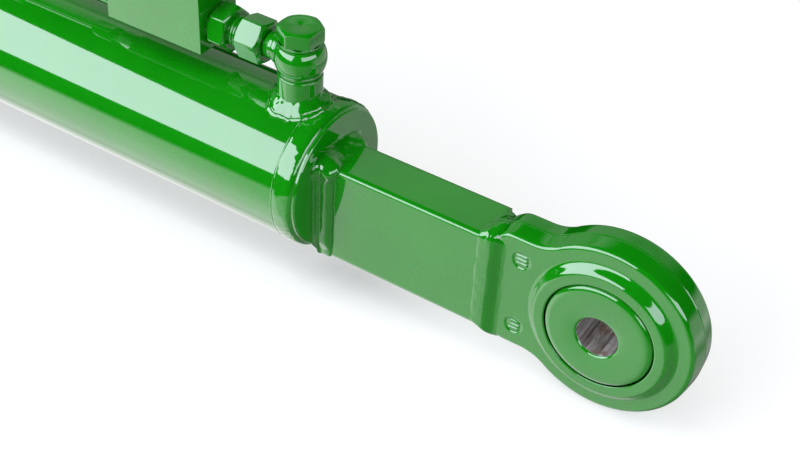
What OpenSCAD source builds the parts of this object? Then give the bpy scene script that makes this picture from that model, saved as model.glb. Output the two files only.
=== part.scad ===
// Hydraulic lower link stabilizer: a double-acting cylinder between two ball
// eyes, with a pilot-operated double check valve carried by its pipework.
// The origin is the centre of the base ball. X points from the rod end to the
// base eye, Y lies along the ball's bore and Z points up.
// A station is a distance behind the end cap's outer face, towards the rod.

/* [Ball eyes] */
// Outer diameter of an eye
eye_d = 85.4; // [82:0.2:90]
// Thickness of an eye's flat body
eye_t = 19.2; // [17:0.2:22]
// Radius of the rounded edge of an eye
eye_edge_r = 1.6; // [1:0.1:2.5]
// Draft of the forging from each face to the parting line
eye_draft = 0.6; // [0.3:0.1:1]
// Outer diameter of the raised ring at its top
ring_d = 62.6; // [60:0.2:65]
// Slope of the raised ring's flank, measured on the radius
ring_slope = 1.7; // [1:0.1:3]
// Width over both raised rings
ring_w = 27; // [24:0.2:27.8]
// Diameter of the ball
ball_d = 56.2; // [55.4:0.1:57]
// Width of the ball over its flats
ball_w = 28.8; // [28.2:0.1:30.4]
// Radial running gap between ball and race
ball_gap = 0.1; // [0.05:0.01:0.1]
// Chamfer where the race opens at the ring
race_chamfer = 0.7; // [0.4:0.1:1]
// Bore for the link pin
pin_d = 19.2; // [16:0.1:25]
// Chamfer of the pin bore
pin_chamfer = 0.8; // [0.4:0.1:1.5]

/* [Base eye neck] */
// Height of the neck
neck_h = 61.5; // [58:0.5:64]
// Distance from the ball's centre to the neck's end
neck_l = 55.6; // [53:0.2:60]
// Fillet between neck and eye
neck_fillet_r = 19.5; // [14:0.5:24]
// Length of the welding bevel on the neck's end
neck_bevel_l = 6.8; // [5:0.2:9]
// Height of the welding bevel
neck_bevel_h = 5; // [3:0.5:6]
// Diameter of the two forging marks
mark_d = 9; // [7:0.2:11]
// Depth of the forging marks
mark_depth = 0.6; // [0.3:0.1:1]
// Distance of the marks from the ball's centre along the neck
mark_out = 40.8; // [39:0.2:43]
// Height of the marks above and below the centre
mark_up = 18.4; // [15:0.2:21]

/* [Flat bar] */
// Height of the bar
bar_h = 51; // [46:0.5:55]
// Thickness of the bar
bar_t = 25.6; // [20:0.2:28]
// Distance from the ball's centre to the end cap's face
cap_reach = 143.2; // [130:0.2:200]
// Root gap of the butt weld between bar and neck
root_gap = 3; // [2:0.5:4]
// Leg of the fillet welds between bar and end cap
bar_weld_leg = 7; // [5:0.2:9]
// Height of the weld across the bar's top
top_weld_h = 3.6; // [2.5:0.1:5]

/* [Cylinder] */
// Height of the cylinder's axis above the bar's centre line
axis_up = 11; // [0:0.5:14]
// Bore of the tube
bore_d = 60; // [58:0.5:64]
// Wall of the tube
tube_wall = 5; // [4:0.25:6]
// Thickness of the end cap in front of the tube
cap_t = 12; // [10:0.5:15]
// Diameter of the end cap's face
cap_d = 67; // [64:0.5:68]
// Length of the cap's spigot in the tube
spigot_l = 5; // [3:0.5:6]
// Height of the cap weld over the tube
cap_weld_rise = 0.6; // [0.3:0.1:1.2]
// Clearance of static turned fits, on the radius
fit_gap = 0.05; // [0.02:0.01:0.1]
// Running clearance of sliding parts, on the radius
slide_gap = 0.05; // [0.02:0.01:0.1]

/* [Rod and piston] */
// Diameter of the rod
rod_d = 35; // [30:0.5:36]
// Stroke of the cylinder
stroke = 150; // [100:1:250]
// Rod showing outside the gland when closed
rod_out = 22; // [16:1:40]
// Diameter of the rod's spigot in the piston
rod_spigot_d = 24; // [20:0.5:26]
// Length of the piston
piston_l = 32; // [30:1:36]
// Radial play of the piston body in the tube
piston_play = 0.5; // [0.3:0.1:0.8]
// Height of the piston nut
piston_nut_h = 13; // [10:1:16]
// Width across flats of the piston nut
piston_nut_af = 36; // [32:1:40]
// Gap left at each end of the stroke
end_gap = 1.5; // [1:0.5:3]
// Diameter of the round shank of the rod eye
shank_d = 40; // [38:1:44]
// Distance from the rod ball's centre to the shank's end
shank_l = 54.2; // [51:0.2:60]
// Length of the shank before it tapers into the eye
shank_round_l = 8; // [4:0.5:10]

/* [Gland] */
// Length of the gland inside the tube
gland_l = 32.5; // [30:0.5:38]
// Length of the gland's reduced nose
nose_l = 16; // [14:1:18]
// Diameter of the reduced nose
nose_d = 48; // [46:1:52]
// Thickness of the gland's flange
gland_flange_t = 8; // [6:0.5:12]
// Diameter of the gland's flange
gland_flange_d = 69; // [66:0.5:70]
// Number of hook spanner slots in the flange
spanner_slots = 4; // [3:1:6]

/* [Ports] */
// Station of the base port
base_port_at = 21.5; // [21:0.5:26]
// Distance of the rod port from the gland's flange
rod_port_back = 40; // [39:0.5:42]
// Diameter of a port boss
boss_d = 20.8; // [19:0.2:23]
// Height of a boss above the tube
boss_h = 14; // [12:0.5:18]
// Drilling from boss to tube bore
port_d = 7; // [5:0.5:8]
// Reach of the weld round a boss
boss_weld_w = 6; // [4:0.5:7]

/* [Fittings] */
// Width across flats of banjo bolts and union nuts
hex_af = 19; // [17:0.5:22]
// Diameter of a banjo bolt's shank
bolt_d = 13; // [12:0.2:14]
// Length of a banjo bolt's thread in the boss
bolt_in = 10; // [8:0.5:11]
// Height of a banjo bolt's head
bolt_head_h = 7.6; // [6:0.2:9]
// Thickness of a sealing washer
washer_t = 1.7; // [1.2:0.1:2.2]
// Diameter of a banjo's round body
banjo_d = 24.2; // [23:0.2:26]
// Height of a banjo over its flats
banjo_h = 13.2; // [12:0.2:15]
// Diameter of a banjo's neck
banjo_neck_d = 13; // [12:0.2:14]
// Distance from a banjo's centre to its neck's shoulder
banjo_neck_l = 17; // [16:0.5:20]
// Length of a union nut
nut_l = 12.8; // [11:0.2:15]
// Width across flats of an adapter's hexagon
adapter_af = 20; // [19:0.5:21]
// Bore through an adapter
adapter_bore_d = 6; // [4:0.5:7]
// Length of an adapter's hexagon
adapter_hex_l = 9.2; // [8:0.2:12]
// Bare thread between union nut and adapter hexagon
thread_show = 6; // [3:0.5:9]
// Diameter of the union thread
union_thread_d = 16; // [15:0.2:17]
// Diameter of the adapter's stud in the block
stud_d = 13.2; // [12:0.2:14]
// Length of the adapter's stud
stud_l = 9; // [8:0.5:10]
// Thickness of the seal under an adapter
seal_t = 1.5; // [1:0.1:2]
// Outer diameter of the pipe
pipe_d = 10; // [8:0.5:11]
// Wall of the pipe
pipe_wall = 1.5; // [1:0.25:2]

/* [Valve block] */
// Length of the block along the cylinder
block_l = 56; // [54:1:80]
// Width of the block
block_w = 26; // [26:0.5:34]
// Height of the block
block_h = 56; // [54:1:64]
// Distance from the pipe's axis down to the block's underside
block_down = 11.6; // [9:0.2:14]
// Gap between the hexagons of an adapter and a valve plug, corner to corner
hex_gap = 2.2; // [1:0.1:3.5]
// Diameter of the valve bore
valve_d = 15; // [14:0.5:16]
// Distance between the two supply ports
supply_pitch = 26; // [24:1:28]
// Tapping diameter of a supply port
supply_d = 15.3; // [13:0.1:17]
// Depth of a supply port
supply_depth = 10; // [8:0.5:11]
// Edge bevel of the block
block_bevel = 0.8; // [0.4:0.1:1.5]

/* [Check valve] */
// Bore of a valve seat
seat_d = 8; // [7:0.5:9]
// Length of a valve seat
seat_l = 3.7; // [3:0.1:4]
// Length of the pilot piston's land
pilot_land_l = 8; // [6:0.5:9]
// Diameter of the pilot piston's pins
pilot_pin_d = 3; // [2:0.5:4]
// Travel of the pilot piston to each side
pilot_travel = 0.8; // [0.4:0.1:1]
// Length of a poppet behind its seat
poppet_l = 3.2; // [3:0.1:3.6]
// Lift of a poppet
poppet_lift = 1.5; // [1:0.1:2]
// Wire diameter of a poppet spring
wire_d = 0.9; // [0.7:0.1:1.1]
// Working turns of a poppet spring
spring_turns = 3; // [2:1:4]
// Length of a valve plug in the block
plug_l = 7; // [6:0.5:8]
// Width across flats of a valve plug
plug_af = 17; // [15:0.5:18.5]
// Height of a valve plug's hexagon
plug_hex_h = 6; // [5:0.5:9]
// Diameter of a poppet's stem, guided in its plug
stem_d = 4; // [3:0.2:4.6]

/* [Hidden] */

$fn = 96;
paint = "#1f7a22";
steel = "#b9bcc0";
chrome = "#d7dadd";
dark_steel = "#6c6f73";
rubber = "#26282a";
guide = "#b98f4c";
zinc = "#c9c2a4";

// Small overreach that keeps cutting faces apart
over = 0.5;
// Corner radius of a hexagon of a given width across flats
function corner(af) = af / (2 * cos(30));

tube_r = bore_d / 2 + tube_wall;
nut_front_at = cap_t + spigot_l + end_gap;
piston_front_at = nut_front_at + piston_nut_h;
piston_rear_at = piston_front_at + piston_l;
nose_tip_at = piston_rear_at + stroke + end_gap;
gland_in_at = nose_tip_at + nose_l;
tube_end_at = gland_in_at + gland_l;
tube_l = tube_end_at - cap_t;
rod_port_at = tube_end_at - rod_port_back;
gland_face_at = tube_end_at + gland_flange_t;
rod_end_at = gland_face_at + rod_out;
// The rod eye's shank: where its taper ends, from the ball's centre, and the radius there
shank_tip_at = ring_d / 2 - 1.2;
shank_tip_r = eye_t / 2 + 0.7;
rod_ball_at = rod_end_at + shank_l;

// Heights over the cylinder's axis
boss_top = tube_r + boss_h;
banjo_up = boss_top + washer_t + banjo_h / 2;
bolt_seat = boss_top + 2 * washer_t + banjo_h;

// Lengths along the pipework, from a banjo's centre
nut_start = banjo_neck_l + 0.3;
hex_start = nut_start + nut_l + thread_show;
block_run = hex_start + adapter_hex_l + seal_t;
collar_at = nut_start + 5;
rim_at = collar_at + 2;
stub_end_at = rim_at + 0.4;
collar_r = union_thread_d / 2 - 1.4;
// Sealing cone: its length, its slope, and its radius at a distance past the collar's rim
cone_l = 5;
cone_slope = 0.45;
function cone_r(past_rim) = collar_r - cone_slope * past_rim;
// Where the cone has come down to the pipe, and the pipe's two ends
ring_tip = (collar_r - pipe_d / 2 - 0.15) / cone_slope;
pipe_end_at = rim_at + ring_tip + 0.2;
pipe_seat_at = banjo_d / 2 + 0.5;

// Stations of the block, from the base port's fittings
block_at = base_port_at + block_run;
block_end_at = block_at + block_l;
block_mid_at = block_at + block_l / 2;

// Puts children on the cylinder's axis, with Z pointing from the cap to the rod
module on_cylinder(station = 0)
    translate([-cap_reach - station, 0, axis_up])
        rotate([0, -90, 0])
            children();

// Puts children at a port, with Z pointing up from the cylinder's axis
module at_port(station)
    translate([-cap_reach - station, 0, axis_up])
        children();

// Puts children on the pipework's axis, with Z pointing towards the rod
module on_pipe(station)
    at_port(station)
        translate([0, 0, banjo_up])
            rotate([0, -90, 0])
                children();

// The same axis with Z pointing towards the base eye
module on_pipe_back(station)
    at_port(station)
        translate([0, 0, banjo_up])
            rotate([0, 90, 0])
                children();

// A round bar from one height to another
module disc(r, z0, z1)
    translate([0, 0, z0])
        cylinder(r = r, h = z1 - z0);

// A hexagon with both ends chamfered by a cone
module hex_bar(af, z0, z1, chamfer0 = 0.9, chamfer1 = 0.9)
    intersection() {
        translate([0, 0, z0])
            cylinder(r = corner(af), h = z1 - z0, $fn = 6);
        rotate_extrude()
            polygon([
                [0, z0],
                [corner(af) - chamfer0 * 1.8, z0],
                [corner(af) + 0.2, z0 + chamfer0 + 0.1],
                [corner(af) + 0.2, z1 - chamfer1 - 0.1],
                [corner(af) - chamfer1 * 1.8, z1],
                [0, z1]
            ]);
    }

// A square-section ring
module ring(r_in, r_out, z0, z1)
    rotate_extrude()
        translate([r_in, z0])
            square([r_out - r_in, z1 - z0]);

// Ball seat of an eye, opened by a chamfer at each ring
module race_cut() {
    race_r = ball_d / 2 + ball_gap;
    mouth_r = sqrt(race_r * race_r - ring_w * ring_w / 4);
    sphere(r = race_r);
    for (side = [0, 1])
        mirror([0, 0, side])
            translate([0, 0, ring_w / 2 - race_chamfer])
                cylinder(r1 = mouth_r, r2 = mouth_r + 2 * race_chamfer, h = 2 * race_chamfer);
}

// Raised ring on both sides of an eye, swaged over the ball
module raised_ring()
    rotate_extrude()
        polygon([
            [0, -ring_w / 2],
            [ring_d / 2 - 0.6, -ring_w / 2],
            [ring_d / 2, -ring_w / 2 + 0.5],
            [ring_d / 2 + ring_slope, -eye_t / 2 + 0.4],
            [ring_d / 2 + ring_slope, eye_t / 2 - 0.4],
            [ring_d / 2, ring_w / 2 - 0.5],
            [ring_d / 2 - 0.6, ring_w / 2],
            [0, ring_w / 2]
        ]);

// Outline of the base eye and its neck, seen along the ball's bore
module eye_outline() {
    eye_r = eye_d / 2;
    fillet_y = neck_h / 2 + neck_fillet_r;
    fillet_x = sqrt(pow(eye_r + neck_fillet_r, 2) - fillet_y * fillet_y);
    touch = eye_r / (eye_r + neck_fillet_r);
    circle(r = eye_r);
    difference() {
        for (side = [0, 1])
            mirror([0, side])
                polygon([
                    [0, -1],
                    [-fillet_x * touch, fillet_y * touch],
                    [-fillet_x, neck_h / 2],
                    [-neck_l + neck_bevel_l, neck_h / 2],
                    [-neck_l, neck_h / 2 - neck_bevel_h],
                    [-neck_l, -1]
                ]);
        for (side = [-1, 1])
            translate([-fillet_x, side * fillet_y])
                circle(r = neck_fillet_r);
    }
}

// The base eye with its flat neck, forged in one piece
module eye_forging() color(paint) {
    edge = eye_edge_r + eye_draft;
    rotate([90, 0, 0])
        difference() {
            union() {
                minkowski() {
                    linear_extrude(0.02, center = true)
                        offset(delta = -edge)
                            eye_outline($fn = 72);
                    rotate_extrude($fn = 20)
                        polygon([
                            [0, -eye_t / 2],
                            [eye_edge_r * 0.55, -eye_t / 2 + eye_edge_r * 0.17],
                            [eye_edge_r, -eye_t / 2 + eye_edge_r],
                            [edge, 0],
                            [eye_edge_r, eye_t / 2 - eye_edge_r],
                            [eye_edge_r * 0.55, eye_t / 2 - eye_edge_r * 0.17],
                            [0, eye_t / 2]
                        ]);
                }
                raised_ring();
            }
            race_cut();
            for (side = [-1, 1])
                translate([-mark_out, side * mark_up, eye_t / 2 - mark_depth])
                    forging_mark();
        }
}

// A shallow round recess that leaves three plain bars standing
module forging_mark() {
    bar_w = mark_d * 0.08;
    difference() {
        cylinder(d = mark_d, h = mark_depth + over);
        for (row = [-1, 0, 1])
            translate([-mark_d * 0.3, row * mark_d * 0.22 - bar_w / 2, -over])
                cube([mark_d * 0.6, bar_w, mark_depth + over * 0.9]);
    }
}

// The rod eye: the same race and ring on a round shank
module rod_eye_forging() color(paint)
    on_cylinder(rod_ball_at)
        difference() {
            union() {
                rotate([90, 0, 0])
                    eye_disc();
                rotate_extrude()
                    polygon([
                        [0, -shank_l],
                        [shank_d / 2, -shank_l],
                        [shank_d / 2, -shank_l + shank_round_l],
                        [shank_tip_r, -shank_tip_at],
                        [0, -shank_tip_at]
                    ]);
            }
            rotate([90, 0, 0])
                race_cut();
        }

// A round eye body with draft and rounded edges, and its raised rings
module eye_disc() {
    eye_r = eye_d / 2;
    edge = eye_edge_r + eye_draft;
    rotate_extrude()
        polygon([
            [0, -eye_t / 2],
            [eye_r - edge, -eye_t / 2],
            [eye_r - edge + eye_edge_r * 0.55, -eye_t / 2 + eye_edge_r * 0.17],
            [eye_r - eye_draft, -eye_t / 2 + eye_edge_r],
            [eye_r, 0],
            [eye_r - eye_draft, eye_t / 2 - eye_edge_r],
            [eye_r - edge + eye_edge_r * 0.55, eye_t / 2 - eye_edge_r * 0.17],
            [eye_r - edge, eye_t / 2],
            [0, eye_t / 2]
        ]);
    raised_ring();
}

// A ball with flat sides and a bore for the link pin
module ball()
    rotate([90, 0, 0])
        difference() {
            intersection() {
                sphere(d = ball_d);
                disc(ball_d, -ball_w / 2, ball_w / 2);
            }
            disc(pin_d / 2, -ball_w, ball_w);
            for (side = [0, 1])
                mirror([0, 0, side])
                    translate([0, 0, ball_w / 2 - pin_chamfer])
                        cylinder(r1 = pin_d / 2, r2 = pin_d / 2 + 2 * pin_chamfer, h = 2 * pin_chamfer);
        }

module base_ball() color(paint) ball();

module rod_ball() color(paint)
    on_cylinder(rod_ball_at)
        ball();

// Rolled flat bar between the end cap and the base eye
module flat_bar() color(paint)
    translate([-cap_reach, -bar_t / 2, -bar_h / 2])
        cube([cap_reach - neck_l - root_gap, bar_t, bar_h]);

// A thin upright slab with rounded corners, for lofting a weld
module weld_slab(x, h, t)
    translate([x, 0, 0])
        rotate([0, 90, 0])
            hull()
                for (up = [-1, 1], back = [-1, 1])
                    translate([up * (h / 2 - 3), back * (t / 2 - 3), 0])
                        cylinder(r = 3, h = 0.2, $fn = 24);

// Butt weld that fills the bevels between bar and neck
module eye_weld() color(paint) {
    bar_end = neck_l + root_gap;
    bevel_end = neck_l - neck_bevel_l;
    crest_h = max(bar_h + 2.6, neck_h - 2 * neck_bevel_h + 2);
    difference() {
        union() {
            hull() {
                weld_slab(-bar_end - 3, bar_h + 0.8, bar_t + 0.6);
                weld_slab(-bar_end, crest_h, bar_t + 0.9);
            }
            hull() {
                weld_slab(-bar_end, crest_h, bar_t + 0.9);
                weld_slab(-bevel_end, neck_h + 0.4, eye_t + 0.8);
            }
        }
        translate([-cap_reach, -bar_t / 2, -bar_h / 2])
            cube([cap_reach - bar_end, bar_t, bar_h]);
        rotate([90, 0, 0])
            linear_extrude(eye_t, center = true)
                polygon([
                    [0, neck_h / 2],
                    [-bevel_end, neck_h / 2],
                    [-neck_l, neck_h / 2 - neck_bevel_h],
                    [-neck_l, -neck_h / 2 + neck_bevel_h],
                    [-bevel_end, -neck_h / 2],
                    [0, -neck_h / 2]
                ]);
    }
}

// Domed profile of a fillet weld, with its corner at the origin
module weld_profile(along, up)
    polygon([
        [0, 0],
        [along, 0],
        [along * 0.62, up * 0.48],
        [along * 0.48, up * 0.62],
        [0, up]
    ]);

// Fillet welds down both sides of the bar and across its top, where it meets the end cap
module bar_weld() color(paint) {
    rim_r = cap_d / 2 + 0.9;
    translate([-cap_reach, 0, 0]) {
        intersection() {
            for (side = [0, 1])
                mirror([0, side, 0])
                    translate([0, bar_t / 2, -bar_h / 2])
                        linear_extrude(bar_h)
                            weld_profile(bar_weld_leg, bar_weld_leg);
            translate([0, 0, axis_up])
                rotate([0, 90, 0])
                    cylinder(r1 = rim_r, r2 = rim_r + 2 * bar_weld_leg, h = bar_weld_leg);
        }
        translate([0, bar_t / 2, bar_h / 2])
            rotate([90, 0, 0])
                linear_extrude(bar_t)
                    weld_profile(bar_weld_leg, top_weld_h);
    }
}

// Turned end cap with a shoulder for its weld and a spigot in the tube
module end_cap() color(paint)
    on_cylinder()
        rotate_extrude()
            polygon([
                [0, 0],
                [cap_d / 2 - 0.6, 0],
                [cap_d / 2, 0.6],
                [cap_d / 2, cap_t / 2],
                [bore_d / 2 - 1, cap_t],
                [bore_d / 2 - fit_gap, cap_t],
                [bore_d / 2 - fit_gap, cap_t + spigot_l - 1],
                [bore_d / 2 - 1, cap_t + spigot_l],
                [0, cap_t + spigot_l]
            ]);

// Outside of the cap weld as a solid, shared with what stands on the tube
module cap_weld_body() {
    top = tube_r + cap_weld_rise;
    rotate_extrude()
        polygon([
            [0, 1],
            [cap_d / 2, 1],
            [tube_r - 0.2, 1.6],
            [tube_r + 0.3, 3.2],
            [top, 6],
            [top, cap_t - 2.2],
            [tube_r + 0.2, cap_t - 0.6],
            [tube_r - 0.1, cap_t],
            [0, cap_t]
        ]);
}

module end_cap_weld() color(paint)
    on_cylinder()
        difference() {
            cap_weld_body();
            rotate_extrude()
                polygon([
                    [0, 0],
                    [cap_d / 2, 0],
                    [cap_d / 2, cap_t / 2],
                    [bore_d / 2 - 1, cap_t],
                    [bore_d / 2 - 1, cap_t + 1],
                    [0, cap_t + 1]
                ]);
            disc(bore_d / 2 - 0.9, cap_t - 1, cap_t + 1);
        }

// Seamless tube with a drilling under each boss
module barrel_tube() color(paint)
    difference() {
        on_cylinder(cap_t)
            ring(bore_d / 2, tube_r, 0, tube_l);
        for (station = [base_port_at, rod_port_at])
            at_port(station)
                disc(port_d / 2, 0, boss_top);
    }

// Round boss that stands on the tube, bored for a banjo bolt
module port_boss(station)
    difference() {
        at_port(station)
            disc(boss_d / 2, bore_d / 2, boss_top);
        on_cylinder(cap_t)
            disc(tube_r, -cap_t, tube_l + 1);
        on_cylinder()
            cap_weld_body();
        at_port(station) {
            disc(port_d / 2, 0, boss_top + 1);
            disc(bolt_d / 2, boss_top - bolt_in, boss_top + 1);
        }
    }

module base_port_boss() color(paint) port_boss(base_port_at);
module rod_port_boss() color(paint) port_boss(rod_port_at);

// Fillet weld that follows the saddle between boss and tube
module port_weld(station)
    difference() {
        at_port(station)
            translate([0, 0, tube_r - boss_weld_w])
                cylinder(r1 = boss_d / 2 + boss_weld_w * 1.2, r2 = boss_d / 2 + 0.8, h = boss_weld_w * 1.8);
        on_cylinder(cap_t)
            disc(tube_r, -cap_t, tube_l + 1);
        on_cylinder()
            cap_weld_body();
        at_port(station)
            disc(boss_d / 2, 0, boss_top);
    }

module base_port_weld() color(paint) port_weld(base_port_at);
module rod_port_weld() color(paint) port_weld(rod_port_at);

// Hollow bolt that clamps a banjo and lets the oil through
module banjo_bolt(station, turn)
    at_port(station)
        difference() {
            union() {
                disc(bolt_d / 2 - fit_gap, boss_top - bolt_in + 0.5, bolt_seat + 1);
                rotate([0, 0, turn])
                    hex_bar(hex_af, bolt_seat, bolt_seat + bolt_head_h, 0.6, 1.2);
            }
            disc(bolt_d / 2 - 3, boss_top - bolt_in - 1, banjo_up + 2);
            translate([0, 0, banjo_up])
                rotate([0, 90, 0])
                    disc(1.8, -bolt_d, bolt_d);
        }

module base_banjo_bolt() color(paint) banjo_bolt(base_port_at, 27.8);
module rod_banjo_bolt() color(paint) banjo_bolt(rod_port_at, 8);

// Sealing washers under and over a banjo
module banjo_washers(station)
    at_port(station)
        for (low = [boss_top, boss_top + washer_t + banjo_h])
            ring(bolt_d / 2 + 0.1, boss_d / 2 - 0.1, low, low + washer_t);

module base_banjo_washers() color(paint) banjo_washers(base_port_at);
module rod_banjo_washers() color(paint) banjo_washers(rod_port_at);

// Spot faces that the sealing washers need on a banjo and its neck
module washer_seats(station)
    at_port(station)
        for (low = [boss_top, boss_top + washer_t + banjo_h])
            disc(boss_d / 2, low, low + washer_t);

// Round banjo body with a gallery round its bolt
module banjo_body(station)
    at_port(station)
        translate([0, 0, banjo_up])
            difference() {
                intersection() {
                    sphere(d = banjo_d);
                    disc(banjo_d, -banjo_h / 2, banjo_h / 2);
                }
                disc(bolt_d / 2 + 0.1, -banjo_h, banjo_h);
                disc(bolt_d / 2 + 1.6, -3, 3);
            }

// Banjo of the base port, with a cone that the union nut pulls into the adapter
module base_banjo() color(paint) {
    neck_r = banjo_neck_d / 2;
    difference() {
        union() {
            banjo_body(base_port_at);
            difference() {
                on_pipe(base_port_at)
                    rotate_extrude()
                        polygon([
                            [0, banjo_d / 2 - 3],
                            [neck_r, banjo_d / 2 - 3],
                            [neck_r, banjo_neck_l - 0.5],
                            [neck_r - 0.5, banjo_neck_l],
                            [pipe_d / 2, banjo_neck_l],
                            [pipe_d / 2, collar_at],
                            [collar_r, collar_at],
                            [collar_r, rim_at],
                            [cone_r(cone_l), rim_at + cone_l],
                            [0, rim_at + cone_l]
                        ]);
                at_port(base_port_at)
                    disc(bolt_d / 2 + 1.6, 0, bolt_seat);
                washer_seats(base_port_at);
            }
        }
        on_pipe(base_port_at)
            disc(pipe_d / 2 - pipe_wall - 0.5, 0, rim_at + cone_l + 1);
    }
}

// Banjo of the rod port, with a socket for the pipe
module rod_banjo() color(paint) {
    neck_r = banjo_neck_d / 2;
    difference() {
        union() {
            banjo_body(rod_port_at);
            difference() {
                on_pipe_back(rod_port_at)
                    rotate_extrude()
                        polygon([
                            [0, banjo_d / 2 - 3],
                            [neck_r + 0.8, banjo_d / 2 - 3],
                            [neck_r + 0.8, banjo_neck_l - 1],
                            [neck_r - 0.2, banjo_neck_l],
                            [0, banjo_neck_l]
                        ]);
                at_port(rod_port_at)
                    disc(bolt_d / 2 + 1.6, 0, bolt_seat);
                washer_seats(rod_port_at);
            }
        }
        on_pipe_back(rod_port_at) {
            disc(pipe_d / 2 - pipe_wall, 0, banjo_neck_l + 1);
            disc(pipe_d / 2 + fit_gap, pipe_seat_at, banjo_neck_l + 1);
        }
    }
}

// Union nut: hexagon outside, collar seat and thread inside
module union_nut()
    difference() {
        rotate([0, 0, 40.7])
            hex_bar(hex_af, nut_start, nut_start + nut_l, 1.4, 0.9);
        disc(pipe_d / 2 + 0.15, nut_start - 1, nut_start + nut_l);
        disc(collar_r + 0.15, collar_at - 0.3, nut_start + nut_l);
        disc(union_thread_d / 2, stub_end_at - 0.4, nut_start + nut_l + 1);
    }

// Adapter: threaded stub with a cone seat, hexagon and stud
module adapter()
    difference() {
        union() {
            disc(union_thread_d / 2 - fit_gap, stub_end_at, hex_start - 1.4);
            disc(union_thread_d / 2 - 1.2, hex_start - 2, hex_start + 1);
            rotate([0, 0, 14])
                hex_bar(adapter_af, hex_start, hex_start + adapter_hex_l, 1.2, 1.2);
            disc(stud_d / 2 - fit_gap, hex_start + adapter_hex_l - 1, block_run + stud_l);
        }
        disc(adapter_bore_d / 2, 0, block_run + stud_l + 1);
        translate([0, 0, rim_at])
            cylinder(r1 = collar_r + 0.1, r2 = cone_r(cone_l + 0.5) + 0.1, h = cone_l + 0.5);
    }

// Bonded seal between an adapter and the block
module adapter_seal()
    ring(stud_d / 2 + 0.1, adapter_af / 2 - 0.9, block_run - seal_t, block_run);

module base_union_nut() color(paint) on_pipe(base_port_at) union_nut();
module base_adapter() color(paint) on_pipe(base_port_at) adapter();
module base_adapter_seal() color(paint) on_pipe(base_port_at) adapter_seal();

// The rod side repeats the same fittings, facing the other way
rod_fittings_at = block_end_at + block_run;
module rod_union_nut() color(paint) on_pipe_back(rod_fittings_at) union_nut();
module rod_adapter() color(paint) on_pipe_back(rod_fittings_at) adapter();
module rod_adapter_seal() color(paint) on_pipe_back(rod_fittings_at) adapter_seal();

// Steel pipe from the cone of the rod adapter into the rod banjo's socket
module rod_pipe() color(paint)
    on_pipe_back(rod_port_at)
        ring(pipe_d / 2 - pipe_wall, pipe_d / 2, pipe_seat_at, rod_port_at - rod_fittings_at + pipe_end_at);

// Cutting ring that seals the pipe in the adapter's cone
module rod_cutting_ring() color(steel)
    on_pipe_back(rod_fittings_at)
        rotate_extrude()
            polygon([
                [pipe_d / 2 + 0.02, collar_at],
                [collar_r, collar_at],
                [collar_r, rim_at],
                [cone_r(ring_tip), rim_at + ring_tip],
                [pipe_d / 2 + 0.02, rim_at + ring_tip]
            ]);

// Height of the valve bore over the pipe's axis, and places along it from the block's middle
valve_up = corner(adapter_af) + corner(plug_af) + hex_gap;
gallery_r = 2;
gallery_x = pilot_land_l / 2 + pilot_travel + gallery_r + 2.2;
seat_in = gallery_x + gallery_r + 0.3;
seat_bevel = 0.8;
poppet_at = seat_in + seat_l;
nose_in = 0.65;
poppet_r = valve_d / 2 - 1.2;
poppet_floor = 1.5;
pilot_pin_at = poppet_at - nose_in - pilot_travel - 0.15;
plug_in = block_l / 2 - plug_l;
chamber_r = 2.8;
chamber_x = plug_in - chamber_r - 0.2;
recess_end = plug_in + 5;
guide_end = recess_end + 5;
stem_end = guide_end - poppet_lift - 0.5;
spring_r = poppet_r - 2.2;
recess_r = spring_r + wire_d;
spring_from = poppet_at + poppet_floor + wire_d / 2 + 0.05;
spring_to = recess_end - wire_d / 2 - 0.05;
supply_x = supply_pitch / 2;
supply_floor = banjo_up - block_down + block_h - supply_depth;

// Puts children on the valve bore's axis at the block's middle
module on_valve()
    on_pipe(block_mid_at)
        translate([valve_up, 0, 0])
            children();

// A cuboid with bevelled edges along its length and at its ends
module bevelled_block(l, w, h, bevel)
    intersection() {
        translate([-l / 2, 0, 0])
            rotate([90, 0, 90])
                linear_extrude(l)
                    polygon([
                        [-w / 2 + bevel, 0],
                        [w / 2 - bevel, 0],
                        [w / 2, bevel],
                        [w / 2, h - bevel],
                        [w / 2 - bevel, h],
                        [-w / 2 + bevel, h],
                        [-w / 2, h - bevel],
                        [-w / 2, bevel]
                    ]);
        translate([0, w / 2, 0])
            rotate([90, 0, 0])
                linear_extrude(w)
                    polygon([
                        [-l / 2 + bevel, 0],
                        [l / 2 - bevel, 0],
                        [l / 2, bevel],
                        [l / 2, h - bevel],
                        [l / 2 - bevel, h],
                        [-l / 2 + bevel, h],
                        [-l / 2, h - bevel],
                        [-l / 2, bevel]
                    ]);
    }

// Manifold block with cylinder ports in its ends, supply ports on top and the valve bore along it
module valve_block() color(paint)
    difference() {
        at_port(block_mid_at)
            translate([0, 0, banjo_up - block_down])
                bevelled_block(block_l, block_w, block_h, block_bevel);
        for (turn = [0, 180])
            at_port(block_mid_at)
                rotate([0, 0, turn])
                    translate([0, 0, banjo_up])
                        rotate([0, 90, 0])
                            disc(stud_d / 2, chamber_x - chamber_r - 1, block_l / 2 + 1);
        for (side = [-1, 1])
            at_port(block_mid_at)
                translate([side * chamber_x, 0, 0])
                    disc(chamber_r, banjo_up, banjo_up + valve_up);
        on_valve()
            disc(valve_d / 2, -block_l / 2 - 1, block_l / 2 + 1);
        for (side = [-1, 1])
            at_port(block_mid_at) {
                translate([side * gallery_x, 0, 0])
                    disc(gallery_r, banjo_up + valve_up, supply_floor + 1);
                translate([side * supply_x, 0, 0])
                    disc(supply_d / 2, supply_floor, banjo_up + block_h);
            }
    }

// Floating piston whose pins push a poppet open
module pilot_piston() color(steel)
    on_valve() {
        disc(valve_d / 2 - slide_gap, -pilot_land_l / 2, pilot_land_l / 2);
        disc(pilot_pin_d / 2, -pilot_pin_at, pilot_pin_at);
    }

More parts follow.
